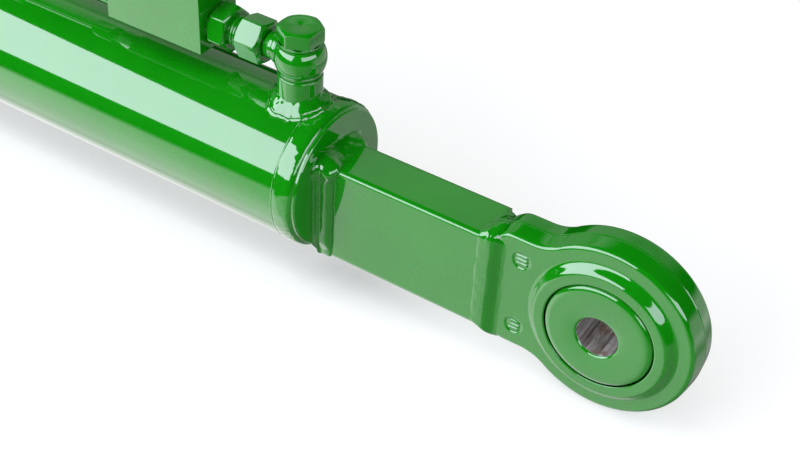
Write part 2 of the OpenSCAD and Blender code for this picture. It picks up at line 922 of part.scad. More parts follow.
// Pressed-in seat with a bevelled mouth
module valve_seat()
    rotate_extrude()
        polygon([
            [seat_d / 2, seat_in],
            [valve_d / 2 - fit_gap, seat_in],
            [valve_d / 2 - fit_gap, poppet_at],
            [seat_d / 2 + seat_bevel, poppet_at],
            [seat_d / 2, poppet_at - seat_bevel]
        ]);

// Poppet with a conical nose that closes the seat, a cup for the spring and a stem inside it
module poppet() {
    cone_h = seat_bevel + nose_in - 0.1;
    rotate_extrude()
        polygon([
            [0, poppet_at - nose_in],
            [seat_d / 2 - 0.15, poppet_at - nose_in],
            [seat_d / 2 - 0.15 + cone_h, poppet_at - nose_in + cone_h],
            [poppet_r, poppet_at - nose_in + cone_h],
            [poppet_r, poppet_at + poppet_l],
            [recess_r, poppet_at + poppet_l],
            [recess_r, poppet_at + poppet_floor],
            [stem_d / 2, poppet_at + poppet_floor],
            [stem_d / 2, stem_end],
            [0, stem_end]
        ]);
}

// Centre line of the coil: closed end turns with working turns between them
function coil(t) = let (
    turns = spring_turns + 2,
    rise = min(max((t * turns - 1) / spring_turns, 0), 1),
    end_pitch = wire_d * 1.05,
    free = spring_to - spring_from - 2 * end_pitch,
    z = spring_from + end_pitch * (min(t * turns, 1) + max(t * turns - turns + 1, 0)) + free * rise
) [spring_r * cos(360 * turns * t), spring_r * sin(360 * turns * t), z];

// Coil spring swept as a tube of rings with eight sides
module poppet_spring() {
    sides = 8;
    rings = 16 * (spring_turns + 2);
    points = [
        for (i = [0 : rings], j = [0 : sides - 1])
            let (
                a = 360 * (spring_turns + 2) * i / rings,
                c = coil(i / rings),
                u = 360 * j / sides,
                r = wire_d / 2
            )
            [c[0] + r * cos(u) * cos(a), c[1] + r * cos(u) * sin(a), c[2] + r * sin(u)]
    ];
    faces = [
        for (i = [0 : rings - 1], j = [0 : sides - 1])
            let (a = i * sides + j, b = i * sides + (j + 1) % sides)
            [a, a + sides, b + sides, b]
    ];
    first = [for (j = [0 : sides - 1]) j];
    last = [for (j = [sides - 1 : -1 : 0]) rings * sides + j];
    polyhedron(points, concat(faces, [first], [last]), convexity = 8);
}

// Threaded plug with a hexagon: it holds the spring and guides the poppet's stem
module valve_plug()
    difference() {
        union() {
            disc(valve_d / 2 - fit_gap, plug_in, block_l / 2 + 1);
            hex_bar(plug_af, block_l / 2, block_l / 2 + plug_hex_h, 0.8, 1.2);
        }
        disc(recess_r, plug_in - 1, recess_end);
        disc(stem_d / 2 + slide_gap, recess_end - 1, guide_end);
    }

module base_side() on_valve() mirror([0, 0, 1]) children();
module rod_side() on_valve() children();
module base_valve_seat() color(steel) base_side() valve_seat();
module rod_valve_seat() color(steel) rod_side() valve_seat();
module base_poppet() color(dark_steel) base_side() poppet();
module rod_poppet() color(dark_steel) rod_side() poppet();
module base_poppet_spring() color(zinc) base_side() poppet_spring();
module rod_poppet_spring() color(zinc) rod_side() poppet_spring();
module base_valve_plug() color(paint) base_side() valve_plug();
module rod_valve_plug() color(paint) rod_side() valve_plug();

// Grooves of the gland: station, length and depth of each ring's place
guide_at = gland_in_at + 4;
guide_l = 9.7;
guide_t = 2.5;
seal_at = guide_at + guide_l + 3;
seal_l = 7;
seal_h = 5;
wiper_l = 5;
wiper_h = 4;
wiper_at = gland_face_at - wiper_l;
o_ring_d = 3;
o_ring_at = gland_in_at + 24;

// Gland screwed into the tube, with its rod bore and ring grooves
module gland_head() color(paint) {
    bore_r = rod_d / 2 + 0.25;
    on_cylinder()
        difference() {
            union() {
                disc(nose_d / 2, nose_tip_at, gland_in_at + 1);
                disc(bore_d / 2 - fit_gap, gland_in_at, tube_end_at);
                rotate_extrude()
                    polygon([
                        [0, tube_end_at],
                        [gland_flange_d / 2, tube_end_at],
                        [gland_flange_d / 2, gland_face_at - 1.5],
                        [gland_flange_d / 2 - 1.5, gland_face_at],
                        [0, gland_face_at]
                    ]);
            }
            disc(bore_r, nose_tip_at - 1, gland_face_at + 1);
            disc(rod_d / 2 + guide_t, guide_at, guide_at + guide_l);
            disc(rod_d / 2 + seal_h, seal_at, seal_at + seal_l);
            disc(rod_d / 2 + wiper_h, wiper_at, gland_face_at + 1);
            ring(bore_d / 2 - o_ring_d, bore_d, o_ring_at - 2, o_ring_at + 2);
            for (i = [0 : spanner_slots - 1])
                rotate([0, 0, 360 / spanner_slots * (i + 0.5)])
                    translate([gland_flange_d / 2 - 3.5, -3, tube_end_at + 1.5])
                        cube([4, 6, gland_flange_t]);
        }
}

module gland_o_ring() color(rubber)
    on_cylinder()
        rotate_extrude()
            translate([bore_d / 2 - o_ring_d / 2 - 0.02, o_ring_at])
                circle(d = o_ring_d - 0.06, $fn = 24);

module rod_guide_ring() color(guide)
    on_cylinder()
        ring(rod_d / 2 + slide_gap, rod_d / 2 + guide_t - 0.05, guide_at + 0.1, guide_at + guide_l - 0.1);

// U-shaped lip seal that opens towards the oil
module rod_seal() color(rubber)
    on_cylinder()
        rotate_extrude()
            polygon([
                [rod_d / 2 + slide_gap, seal_at + 0.1],
                [rod_d / 2 + 1.6, seal_at + 0.1],
                [rod_d / 2 + 2.4, seal_at + 3],
                [rod_d / 2 + 3.2, seal_at + 0.1],
                [rod_d / 2 + seal_h - 0.05, seal_at + 0.1],
                [rod_d / 2 + seal_h - 0.05, seal_at + seal_l - 0.1],
                [rod_d / 2 + slide_gap, seal_at + seal_l - 0.1]
            ]);

// Wiper whose lip stands out of the gland's face
module rod_wiper() color(rubber)
    on_cylinder()
        rotate_extrude()
            polygon([
                [rod_d / 2 + 1, wiper_at + 0.1],
                [rod_d / 2 + wiper_h - 0.05, wiper_at + 0.1],
                [rod_d / 2 + wiper_h - 0.05, gland_face_at],
                [rod_d / 2 + 2, gland_face_at],
                [rod_d / 2 + 1.2, gland_face_at + 1.8],
                [rod_d / 2 + slide_gap, gland_face_at + 2],
                [rod_d / 2 + 1, gland_face_at - 1]
            ]);

// Grooves of the piston, measured from its front face
piston_seal_l = 8;
piston_seal_h = 5.5;
piston_guide_l = 5;
piston_guide_t = 2.5;
piston_seal_at = piston_front_at + (piston_l - piston_seal_l) / 2;
piston_guides_at = [piston_front_at + 2.5, piston_rear_at - 2.5 - piston_guide_l];

module piston() color(steel)
    on_cylinder()
        difference() {
            disc(bore_d / 2 - piston_play, piston_front_at, piston_rear_at);
            disc(rod_spigot_d / 2 + fit_gap, piston_front_at - 1, piston_rear_at + 1);
            ring(bore_d / 2 - piston_seal_h, bore_d, piston_seal_at, piston_seal_at + piston_seal_l);
            for (low = piston_guides_at)
                ring(bore_d / 2 - piston_guide_t, bore_d, low, low + piston_guide_l);
        }

module piston_seal() color(rubber)
    on_cylinder()
        ring(bore_d / 2 - piston_seal_h + 0.05, bore_d / 2 - slide_gap,
            piston_seal_at + 0.1, piston_seal_at + piston_seal_l - 0.1);

module piston_guide_rings() color(guide)
    on_cylinder()
        for (low = piston_guides_at)
            ring(bore_d / 2 - piston_guide_t + 0.05, bore_d / 2 - slide_gap, low + 0.1, low + piston_guide_l - 0.1);

module piston_nut() color(steel)
    on_cylinder()
        difference() {
            hex_bar(piston_nut_af, nut_front_at, piston_front_at, 1.2, 1.2);
            disc(rod_spigot_d / 2 + fit_gap, nut_front_at - 1, piston_front_at + 1);
        }

// Ground and chromed rod with a spigot for the piston and its nut
module piston_rod() color(chrome)
    on_cylinder()
        rotate_extrude()
            polygon([
                [0, nut_front_at],
                [rod_spigot_d / 2 - 1, nut_front_at],
                [rod_spigot_d / 2, nut_front_at + 1],
                [rod_spigot_d / 2, piston_rear_at],
                [rod_d / 2 - 1.5, piston_rear_at],
                [rod_d / 2, piston_rear_at + 1.5],
                [rod_d / 2, rod_end_at - 2],
                [rod_d / 2 - 2, rod_end_at],
                [0, rod_end_at]
            ]);

// Round weld between the rod and the rod eye's shank
module rod_eye_weld() color(paint)
    on_cylinder()
        rotate_extrude()
            polygon([
                [rod_d / 2, rod_end_at - 4],
                [rod_d / 2 + 2, rod_end_at - 3],
                [shank_d / 2, rod_end_at - 0.6],
                [shank_d / 2, rod_end_at],
                [rod_d / 2 - 2, rod_end_at],
                [rod_d / 2, rod_end_at - 2]
            ]);

eye_forging();
base_ball();
eye_weld();
flat_bar();
bar_weld();
end_cap();
end_cap_weld();
barrel_tube();
base_port_boss();
base_port_weld();
base_banjo_bolt();
base_banjo_washers();
base_banjo();
base_union_nut();
base_adapter();
base_adapter_seal();
valve_block();
pilot_piston();
base_valve_seat();
rod_valve_seat();
base_poppet();
rod_poppet();
base_poppet_spring();
rod_poppet_spring();
base_valve_plug();
rod_valve_plug();
rod_adapter_seal();
rod_adapter();
rod_union_nut();
rod_cutting_ring();
rod_pipe();
rod_banjo();
rod_banjo_bolt();
rod_banjo_washers();
rod_port_boss();
rod_port_weld();
gland_head();
gland_o_ring();
rod_guide_ring();
rod_seal();
rod_wiper();
piston();
piston_seal();
piston_guide_rings();
piston_nut();
piston_rod();
rod_eye_weld();
rod_eye_forging();
rod_ball();
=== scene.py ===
from math import asin, atan2, cos, dist, exp, hypot, pi, radians, sin, sqrt, tau

import bmesh
import bpy
from mathutils import Matrix, Vector, noise


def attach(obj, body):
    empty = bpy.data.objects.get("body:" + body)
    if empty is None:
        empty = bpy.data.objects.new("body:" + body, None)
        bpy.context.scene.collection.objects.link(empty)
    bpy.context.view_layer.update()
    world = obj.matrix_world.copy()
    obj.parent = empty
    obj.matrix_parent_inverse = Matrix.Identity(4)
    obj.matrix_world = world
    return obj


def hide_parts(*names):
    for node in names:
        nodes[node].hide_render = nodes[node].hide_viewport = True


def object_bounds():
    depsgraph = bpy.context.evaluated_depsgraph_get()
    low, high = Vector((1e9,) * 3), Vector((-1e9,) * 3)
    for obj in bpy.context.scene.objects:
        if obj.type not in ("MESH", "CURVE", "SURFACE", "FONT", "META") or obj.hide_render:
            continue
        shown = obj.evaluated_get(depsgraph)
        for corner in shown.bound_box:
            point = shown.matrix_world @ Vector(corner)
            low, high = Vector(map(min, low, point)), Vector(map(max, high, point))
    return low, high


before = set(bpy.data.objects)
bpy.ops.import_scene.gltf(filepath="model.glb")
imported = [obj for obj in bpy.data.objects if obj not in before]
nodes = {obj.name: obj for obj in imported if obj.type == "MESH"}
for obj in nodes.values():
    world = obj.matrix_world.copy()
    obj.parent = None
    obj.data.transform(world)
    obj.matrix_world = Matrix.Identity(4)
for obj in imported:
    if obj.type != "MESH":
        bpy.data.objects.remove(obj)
scene = bpy.context.scene
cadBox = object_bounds()
mm = 0.001
print("frame loaded:", len(nodes), "nodes")


# Camera: where the photo was taken from, solved from the bar's edges and the eye's circles
camera = {
    "azimuth": 31.49569,
    "elevation": 38.554943,
    "roll": 3.351412,
    "lens": 62.683,  # for a 36 mm wide sensor
    "distance": 636.35 * mm,
    "target": (-107.99 * mm, 0, -0.36 * mm),
}


def newObject(name, data):
    obj = bpy.data.objects.new(name, data)
    scene.collection.objects.link(obj)
    return obj


def directionTo(azimuth, elevation):
    az, el = radians(azimuth), radians(elevation)
    return Vector((sin(az) * cos(el), -cos(az) * cos(el), sin(el)))


def addCamera(c):
    az, roll = radians(c["azimuth"]), radians(c["roll"])
    back = directionTo(c["azimuth"], c["elevation"])
    right = Vector((cos(az), sin(az), 0))
    up = back.cross(right)
    localX = right * cos(roll) + up * sin(roll)
    localY = up * cos(roll) - right * sin(roll)
    data = bpy.data.cameras.new("photoCamera")
    data.sensor_width = 36
    data.lens = c["lens"]
    data.clip_start = 0.01
    obj = newObject("photoCamera", data)
    turn = Matrix((localX, localY, back)).transposed().to_4x4()
    obj.matrix_world = Matrix.Translation(Vector(c["target"]) + back * c["distance"]) @ turn
    scene.camera = obj


addCamera(camera)


# Node helpers for the materials, the world and the Geometry Nodes
def newMaterial(name):
    m = bpy.data.materials.new(name)
    m.use_nodes = True
    m.node_tree.nodes.clear()
    return m, m.node_tree


def link(tree, a, b):
    # From a socket, or from a node's first output
    tree.links.new(a.outputs[0] if hasattr(a, "outputs") else a, b)


def feed(tree, value, socket):
    # Links a socket or node, sets any other value
    if hasattr(value, "links") or hasattr(value, "outputs"):
        link(tree, value, socket)
    else:
        socket.default_value = value


def addNode(tree, kind, **inputs):
    node = tree.nodes.new(kind)
    for key, value in inputs.items():
        if key in node.inputs:
            feed(tree, value, node.inputs[key])
        else:
            setattr(node, key, value)
    return node


def mathNode(tree, operation, *values):
    node = tree.nodes.new("ShaderNodeMath")
    node.operation = operation
    for value, socket in zip(values, node.inputs):
        feed(tree, value, socket)
    return node.outputs[0]


def chain(tree, operation, values):
    out = values[0]
    for value in values[1:]:
        out = mathNode(tree, operation, out, value)
    return out


def times(tree, *values):
    return chain(tree, "MULTIPLY", values)


def plus(tree, *values):
    return chain(tree, "ADD", values)


# Studio: white paper under the part, two softboxes that the gloss shows, three fills that it does not
studio = {
    "paperSize": 3.0,
    "paperGrey": 0.5,
    "paperGlow": 0.53,
    "paperFade": (0.5, 1.3),  # from here to here the paper turns to pure white
    # The paper's close shadow is painted: ambient occlusion within this reach darkens it
    "contactReach": 22 * mm,  # how close a part of the object darkens the paper
    "contactFade": (-0.06, -0.15),  # the close shadow starts here and is full here, along X
    # Azimuth, elevation, distance, width, height, power, and whether the gloss shows the light
    "lights": {
        "leftSoftbox": (-36, 27, 1.5, 2.3, 1.1, 27, True),
        "rightSoftbox": (75, 21, 1.5, 1.9, 0.55, 8, True),
        "frontFill": (-14, 16, 1.6, 1.6, 0.9, 8, False),
        "topFill": (-40, 72, 1.3, 0.9, 0.9, 6.1, False),
        "backFill": (165, 35, 1.6, 1.6, 0.9, 5.5, False),
    },
    "boxColour": (0.84, 0.88, 1.0),
    "lightCentre": (-0.16, 0, 0),
    "topLight": 0.32,  # soft light from above that the gloss does not show
    # Brightness of the table by how far left a direction points, and of the wall by its height
    "table": [(0.15, 0.17), (0.75, 0.66), (0.89, 0.66), (0.97, 1.05)],
    "wall": [(0.0, 0.0), (0.05, 0.9), (0.42, 0.9), (0.5, 0.5), (0.57, 1.35), (0.64, 0.9), (0.73, 0.0)],
    # What the gloss sees: brightness, and between which limits it fades in along x, y, z or to the back
    "mirrored": {
        "table": (1.0, [("z", -0.2, -0.32)]),
        "wall": (0.22, [("y", 0.1, 0.3), ("x", 0.45, 0.15)]),
        "paleSide": (0.42, [("back", 0.5, 0.85), ("z", 0.1, -0.05), ("z", -0.5, -0.3)]),
        "tableBack": (0.15, [("back", 0.45, 0.7), ("z", -0.48, -0.58)]),  # for faces turned to the right
        "tableFar": (0.66, [("y", -0.25, 0.5), ("x", 0.0, -0.3), ("z", -0.42, -0.56)]),  # for far edges
    },
}


def addLight(name, azimuth, elevation, distance, width, height, power, mirrored):
    away = directionTo(azimuth, elevation)
    data = bpy.data.lights.new(name, "AREA")
    data.shape = "RECTANGLE"
    data.size = width
    data.size_y = height
    data.energy = power
    data.color = studio["boxColour"] if mirrored else (1, 1, 1)
    obj = newObject(name, data)
    obj.location = Vector(studio["lightCentre"]) + away * distance
    obj.rotation_euler = away.to_track_quat("Z", "Y").to_euler()
    obj.visible_camera = False
    obj.visible_glossy = mirrored


def rise(tree, value, low, high):
    # 0 below low, 1 above high, or the other way round when low is the greater
    node = addNode(tree, "ShaderNodeMapRange", interpolation_type="SMOOTHSTEP", Value=value)
    node.inputs["From Min"].default_value = low
    node.inputs["From Max"].default_value = high
    return node.outputs["Result"]


def pointing(tree, x, y, toX, toY):
    # How far a direction points one way over the ground
    return plus(tree, times(tree, x, toX), times(tree, y, toY))


def paperMaterial(s):
    m, tree = newMaterial("whitePaper")
    out = addNode(tree, "ShaderNodeOutputMaterial")
    path = addNode(tree, "ShaderNodeLightPath")
    seen = mathNode(tree, "MAXIMUM", path.outputs["Is Camera Ray"], path.outputs["Is Transmission Ray"])
    grey = s["paperGrey"]
    diffuse = addNode(tree, "ShaderNodeBsdfDiffuse", Color=(grey, grey, grey, 1))
    place = addNode(tree, "ShaderNodeTexCoord")
    away = addNode(tree, "ShaderNodeVectorMath", operation="LENGTH")
    link(tree, place.outputs["Object"], away.inputs[0])
    far = times(tree, rise(tree, away.outputs["Value"], *s["paperFade"]), 1.0 - s["paperGlow"])
    level = plus(tree, far, s["paperGlow"])
    glow = addNode(tree, "ShaderNodeEmission", Color=(1, 1, 1, 1), Strength=times(tree, seen, level))
    lit = addNode(tree, "ShaderNodeAddShader")
    link(tree, diffuse, lit.inputs[0])
    link(tree, glow, lit.inputs[1])
    # Painted close shadow: under bar and barrel ambient occlusion darkens the paper, under the base eye it
    # does not
    near = addNode(tree, "ShaderNodeAmbientOcclusion", Distance=s["contactReach"])
    near.samples = 8
    xyz = addNode(tree, "ShaderNodeSeparateXYZ", Vector=place.outputs["Object"])
    shade = mathNode(tree, "SUBTRACT", 1.0, near.outputs["AO"])
    shade = times(tree, shade, rise(tree, xyz.outputs["X"], *s["contactFade"]), seen)
    black = addNode(tree, "ShaderNodeEmission", Color=(0, 0, 0, 1))
    mix = addNode(tree, "ShaderNodeMixShader")
    link(tree, shade, mix.inputs[0])
    link(tree, lit, mix.inputs[1])
    link(tree, black, mix.inputs[2])
    link(tree, mix, out.inputs["Surface"])
    return m


def ramp(tree, fac, stops):
    node = addNode(tree, "ShaderNodeValToRGB")
    while len(node.color_ramp.elements) < len(stops):
        node.color_ramp.elements.new(0.5)
    for element, (position, value) in zip(node.color_ramp.elements, stops):
        element.position = position
        element.color = value if hasattr(value, "__len__") else (value, value, value, 1)
    link(tree, fac, node.inputs[0])
    return node.outputs[0]


def studioWorld(s):
    # The gloss sees the table below, a dark ring round the horizon, a dim wall behind and a pale side
    world = bpy.data.worlds.new("studioWorld")
    scene.world = world
    world.use_nodes = True
    tree = world.node_tree
    tree.nodes.clear()
    out = addNode(tree, "ShaderNodeOutputWorld")
    path = addNode(tree, "ShaderNodeLightPath")
    place = addNode(tree, "ShaderNodeTexCoord")
    xyz = addNode(tree, "ShaderNodeSeparateXYZ", Vector=place.outputs["Generated"])
    x, y, z = xyz.outputs
    flat = mathNode(tree, "SQRT", mathNode(tree, "SUBTRACT", 1.0, times(tree, z, z)))
    toLeft = mathNode(tree, "DIVIDE", pointing(tree, x, y, -0.866, -0.5), flat)
    along = {"x": x, "y": y, "z": z, "back": pointing(tree, x, y, 0.707, 0.707)}
    start = {"table": [ramp(tree, toLeft, s["table"])], "wall": [ramp(tree, z, s["wall"])]}
    patches = []
    for name, (bright, limits) in s["mirrored"].items():
        fades = [rise(tree, along[way], low, high) for way, low, high in limits]
        patches.append(times(tree, *start.get(name, []), *fades, bright))
    mirrored = plus(tree, *patches)
    mirrored = times(tree, mirrored, path.outputs["Is Glossy Ray"])
    above = times(tree, mathNode(tree, "GREATER_THAN", z, 0.0), path.outputs["Is Diffuse Ray"])
    strength = plus(tree, mirrored, times(tree, above, s["topLight"]))
    strength = mathNode(tree, "MAXIMUM", path.outputs["Is Camera Ray"], strength)
    back = addNode(tree, "ShaderNodeBackground", Color=(1, 1, 1, 1), Strength=strength)
    link(tree, back, out.inputs["Surface"])


def addStudio(s):
    for name, values in s["lights"].items():
        addLight(name, *values)
    studioWorld(s)
    mesh = bpy.data.meshes.new("paper")
    h, z = s["paperSize"], cadBox[0][2] - 0.1 * mm
    mesh.from_pydata([(-h, -h, z), (h, -h, z), (h, h, z), (-h, h, z)], [], [(0, 1, 2, 3)])
    paper = newObject("paper", mesh)
    paper.visible_glossy = False  # the world shows the table to the gloss instead
    mesh.materials.append(paperMaterial(s))
    scene.view_settings.view_transform = "Standard"


addStudio(studio)
print("camera and studio made")


# Finishes
finishes = {
    # Thin and thick paint have these shares of the colour
    "paintColour": (0.004, 0.228, 0.003), "thinPaint": (0.8, 0.92, 0.8), "thickPaint": (1.3, 1.06, 1.3),
    "paintRoughness": 0.07, "coatIor": 1.8, "coatRoughness": 0.02,
    "cloudScale": 28.0, "peelScale": 420.0, "waveScale": 60.0, "lumpScale": 160.0,
    "edgeSoftness": 0.45 * mm,
}


def noiseTex(tree, place, scale, detail=2.0, roughness=0.5):
    tex = addNode(tree, "ShaderNodeTexNoise", Vector=place, Scale=scale, Detail=detail, Roughness=roughness)
    return tex.outputs["Fac"]


def startFinish(name, roughness, metallic=0.0, coat=None):
    m, tree = newMaterial(name)
    out = addNode(tree, "ShaderNodeOutputMaterial")
    shader = addNode(tree, "ShaderNodeBsdfPrincipled")
    shader.inputs["Roughness"].default_value = roughness
    shader.inputs["Metallic"].default_value = metallic
    if coat:
        shader.inputs["Specular IOR Level"].default_value = 1.0
        shader.inputs["Coat Weight"].default_value = 1.0
        shader.inputs["Coat Roughness"].default_value = finishes["coatRoughness"]
        shader.inputs["Coat IOR"].default_value = coat
    place = addNode(tree, "ShaderNodeTexCoord")
    link(tree, shader, out.inputs["Surface"])
    return m, tree, shader, place.outputs["Object"]


def addBump(tree, shader, height, strength, distance, edge=0.0):
    lump = addNode(tree, "ShaderNodeBump", Strength=strength, Distance=distance, Height=height)
    if edge:
        soft = addNode(tree, "ShaderNodeBevel", Radius=edge)
        soft.samples = 6
        link(tree, soft, lump.inputs["Normal"])
    link(tree, lump, shader.inputs["Normal"])
    if shader.inputs["Coat Weight"].default_value:
        link(tree, lump, shader.inputs["Coat Normal"])


def tinted(colour, shares=(1, 1, 1)):
    return (*(c * share for c, share in zip(colour, shares)), 1)


def colourBy(tree, shader, fac, *stops):
    link(tree, ramp(tree, fac, stops), shader.inputs["Base Color"])


def glossPaint(name, peelHeight=0.05, waveHeight=0.5, lumpHeight=0.0):
    f = finishes
    m, tree, shader, place = startFinish(name, f["paintRoughness"], coat=f["coatIor"])
    cloud = noiseTex(tree, place, f["cloudScale"], 3.0, 0.6)
    thin, thick = (tinted(f["paintColour"], f[name]) for name in ("thinPaint", "thickPaint"))
    colourBy(tree, shader, cloud, (0.3, thin), (0.75, thick))
    height = plus(tree, times(tree, noiseTex(tree, place, f["peelScale"], 1.0), peelHeight),
                  times(tree, noiseTex(tree, place, f["waveScale"], 1.0), waveHeight))
    if lumpHeight:
        height = plus(tree, height, times(tree, noiseTex(tree, place, f["lumpScale"], 2.0), lumpHeight))
    addBump(tree, shader, height, 0.12, 0.4 * mm, f["edgeSoftness"])
    return m


def boreSteel(name):
    # Bare steel with streaks along the bore and rust in the low spots
    m, tree, shader, place = startFinish(name, 0.42, metallic=0.55)
    stretch = addNode(tree, "ShaderNodeMapping", Vector=place, Scale=(300, 22, 300))
    streak = noiseTex(tree, stretch, 1.0, 3.0, 0.7)
    patch = noiseTex(tree, place, 190.0, 4.0, 0.65)
    steel = ramp(tree, streak, [(0.38, (0.13, 0.1, 0.085, 1)), (0.6, (0.72, 0.7, 0.69, 1))])
    rust = ramp(tree, patch, [(0.4, (0.13, 0.07, 0.045, 1)), (0.7, (0.36, 0.24, 0.17, 1))])
    mix = addNode(tree, "ShaderNodeMixRGB")
    link(tree, ramp(tree, patch, [(0.52, 0.0), (0.62, 0.85)]), mix.inputs[0])
    link(tree, steel, mix.inputs[1])
    link(tree, rust, mix.inputs[2])
    link(tree, mix, shader.inputs["Base Color"])
    addBump(tree, shader, streak, 0.4, 0.1 * mm)
    return m


def gapShadePaint(name):
    # Painted shade in the gap round the ball: near-black, with little gloss
    m, tree, shader, place = startFinish(name, 0.6)
    tex = noiseTex(tree, place, 300.0, 3.0)
    colourBy(tree, shader, tex, (0.3, (0.001, 0.002, 0.001, 1)), (0.7, (0.004, 0.012, 0.004, 1)))
    shader.inputs["Specular IOR Level"].default_value = 0.1
    return m


def turnedMetal(name, colour, roughness, pitch=900.0, edge=0.25 * mm, metallic=1.0):
    # Fine turning marks and a little stain
    m, tree, shader, place = startFinish(name, roughness, metallic=metallic)
    stretch = addNode(tree, "ShaderNodeMapping", Vector=place, Scale=(pitch, pitch * 0.05, pitch * 0.05))
    marks = noiseTex(tree, stretch, 1.0, 2.0)
    stain = noiseTex(tree, place, 55.0, 3.0)
    colourBy(tree, shader, stain, (0.35, tinted(colour, (0.8, 0.8, 0.8))), (0.65, tinted(colour)))
    addBump(tree, shader, marks, 0.15, 0.05 * mm, edge)
    return m


def dullFinish(name, dark, pale, roughness, grain):
    m, tree, shader, place = startFinish(name, roughness)
    tex = noiseTex(tree, place, grain, 4.0, 0.6)
    colourBy(tree, shader, tex, (0.3, tinted(dark)), (0.7, tinted(pale)))
    addBump(tree, shader, tex, 0.3, 0.08 * mm, 0.2 * mm)
    return m


paint = glossPaint("greenGlossPaint")
forgedPaint = glossPaint("greenPaintOnForging", peelHeight=0.03, waveHeight=0.8, lumpHeight=0.08)
weldPaint = glossPaint("greenPaintOnWeld", waveHeight=0.8, lumpHeight=0.22)
bore = boreSteel("boreSteel")
# Painted shade for the gap round each ball
seam = gapShadePaint("paintedShadeInTheGap")
bareSteel = turnedMetal("machinedSteel", (0.56, 0.56, 0.55), 0.32)
darkSteel = turnedMetal("hardenedSteel", (0.3, 0.3, 0.31), 0.28)
chrome = turnedMetal("hardChrome", (0.8, 0.81, 0.82), 0.13, 1600.0, metallic=0.8)
springWire = turnedMetal("springWire", (0.42, 0.41, 0.38), 0.35)
rubber = dullFinish("sealRubber", (0.012, 0.012, 0.013), (0.03, 0.03, 0.032), 0.55, 300.0)
resin = dullFinish("guideResin", (0.36, 0.2, 0.08), (0.5, 0.31, 0.14), 0.5, 220.0)

nodeFinish = {
    bareSteel: ["pilot_piston", "base_valve_seat", "rod_valve_seat", "rod_cutting_ring",
                "piston", "piston_nut"],
    darkSteel: ["base_poppet", "rod_poppet"],
    chrome: ["piston_rod"],
    springWire: ["base_poppet_spring", "rod_poppet_spring"],
    rubber: ["gland_o_ring", "rod_seal", "rod_wiper", "piston_seal"],
    resin: ["rod_guide_ring", "piston_guide_rings"],
}
for name, obj in nodes.items():
    obj.data.materials.clear()
    obj.data.materials.append(next((m for m, names in nodeFinish.items() if name in names), paint))
print("finishes made")


# Mesh helpers: places are written in millimetres
def makePiece(name, parts, finish, sharp=28):
    verts, faces = [], []
    for partVerts, partFaces in parts:
        first = len(verts)
        verts += [tuple(c * mm for c in p) for p in partVerts]
        faces += [tuple(first + k for k in face) for face in partFaces]
    mesh = bpy.data.meshes.new(name)
    mesh.from_pydata(verts, [], faces)
    bm = bmesh.new()
    bm.from_mesh(mesh)
    bmesh.ops.remove_doubles(bm, verts=bm.verts, dist=2e-6)
    bmesh.ops.recalc_face_normals(bm, faces=bm.faces)
    bm.to_mesh(mesh)
    bm.free()
    mesh.shade_smooth()
    mesh.set_sharp_from_angle(angle=radians(sharp))
    mesh.materials.append(finish)
    return newObject(name, mesh)


def settle(obj, body, slotName, *replaced):
    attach(obj, body)
    if replaced:
        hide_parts(*replaced)


def greenPiece(name, parts, node, finish=paint, sharp=50):
    settle(makePiece(name, parts, finish, sharp), "cylinder", "green_paint", node)


def softCorners(points, radius, steps=4, closed=False):
    # Rounds the corners of a line, with one more point beside each so that flats shade flat
    out = []
    for i, p in enumerate(points):
        p = Vector(p)
        if not closed and i in (0, len(points) - 1):
            out.append(p)
            continue
        a, b = Vector(points[i - 1]) - p, Vector(points[(i + 1) % len(points)]) - p
        r = min(radius, a.length * 0.38, b.length * 0.38)
        a.normalize()
        b.normalize()
        out.append(p + a * r * 1.25)
        for k in range(steps + 1):
            t = k / steps
            out.append((p + a * r) * (1 - t) ** 2 + p * 2 * t * (1 - t) + (p + b * r) * t * t)
        out.append(p + b * r * 1.25)
    return out


def refined(outline, step, whole=round):
    # A closed outline with more points, no farther apart than about one step
    out = []
    for a, b in zip(outline, outline[1:] + outline[:1]):
        count = max(whole((a - b).length / step), 1)
        out += [a.lerp(b, k / count) for k in range(count)]
    return out


def loft(sections, ring=False):
    # Joins sections of equal length into one closed skin: verts and faces
    n, count = len(sections[0]), len(sections)
    faces = []
    for i in range(count if ring else count - 1):
        a, b = i * n, (i + 1) % count * n
        faces += [(a + k, a + (k + 1) % n, b + (k + 1) % n, b + k) for k in range(n)]
    if not ring:
        faces += [tuple(reversed(range(n))), tuple(range((count - 1) * n, count * n))]
    return [p for section in sections for p in section], faces


def turned(profile, at, along, steps=96, bump=None):
    # A turned part: profile of (distance along the axis, radius), closed on itself
    along = Vector(along).normalized()
    side = along.orthogonal().normalized()
    other = along.cross(side)
    sections = []
    for k in range(steps):
        turn = tau * k / steps
        out = side * cos(turn) + other * sin(turn)
        section = []
        for d, r in profile:
            p = Vector(at) + along * d + out * r
            section.append(p + out * bump(p) if bump and r > 0.1 else p)
        sections.append(section)
    return loft(sections, ring=True)


def lumps(p, scale, seed=0):
    return noise.noise(Vector((p[0] * scale + seed * 7.3, p[1] * scale, p[2] * scale)))


def smooth(a, b, x):
    t = min(max((x - a) / (b - a), 0), 1)
    return t * t * (3 - 2 * t)


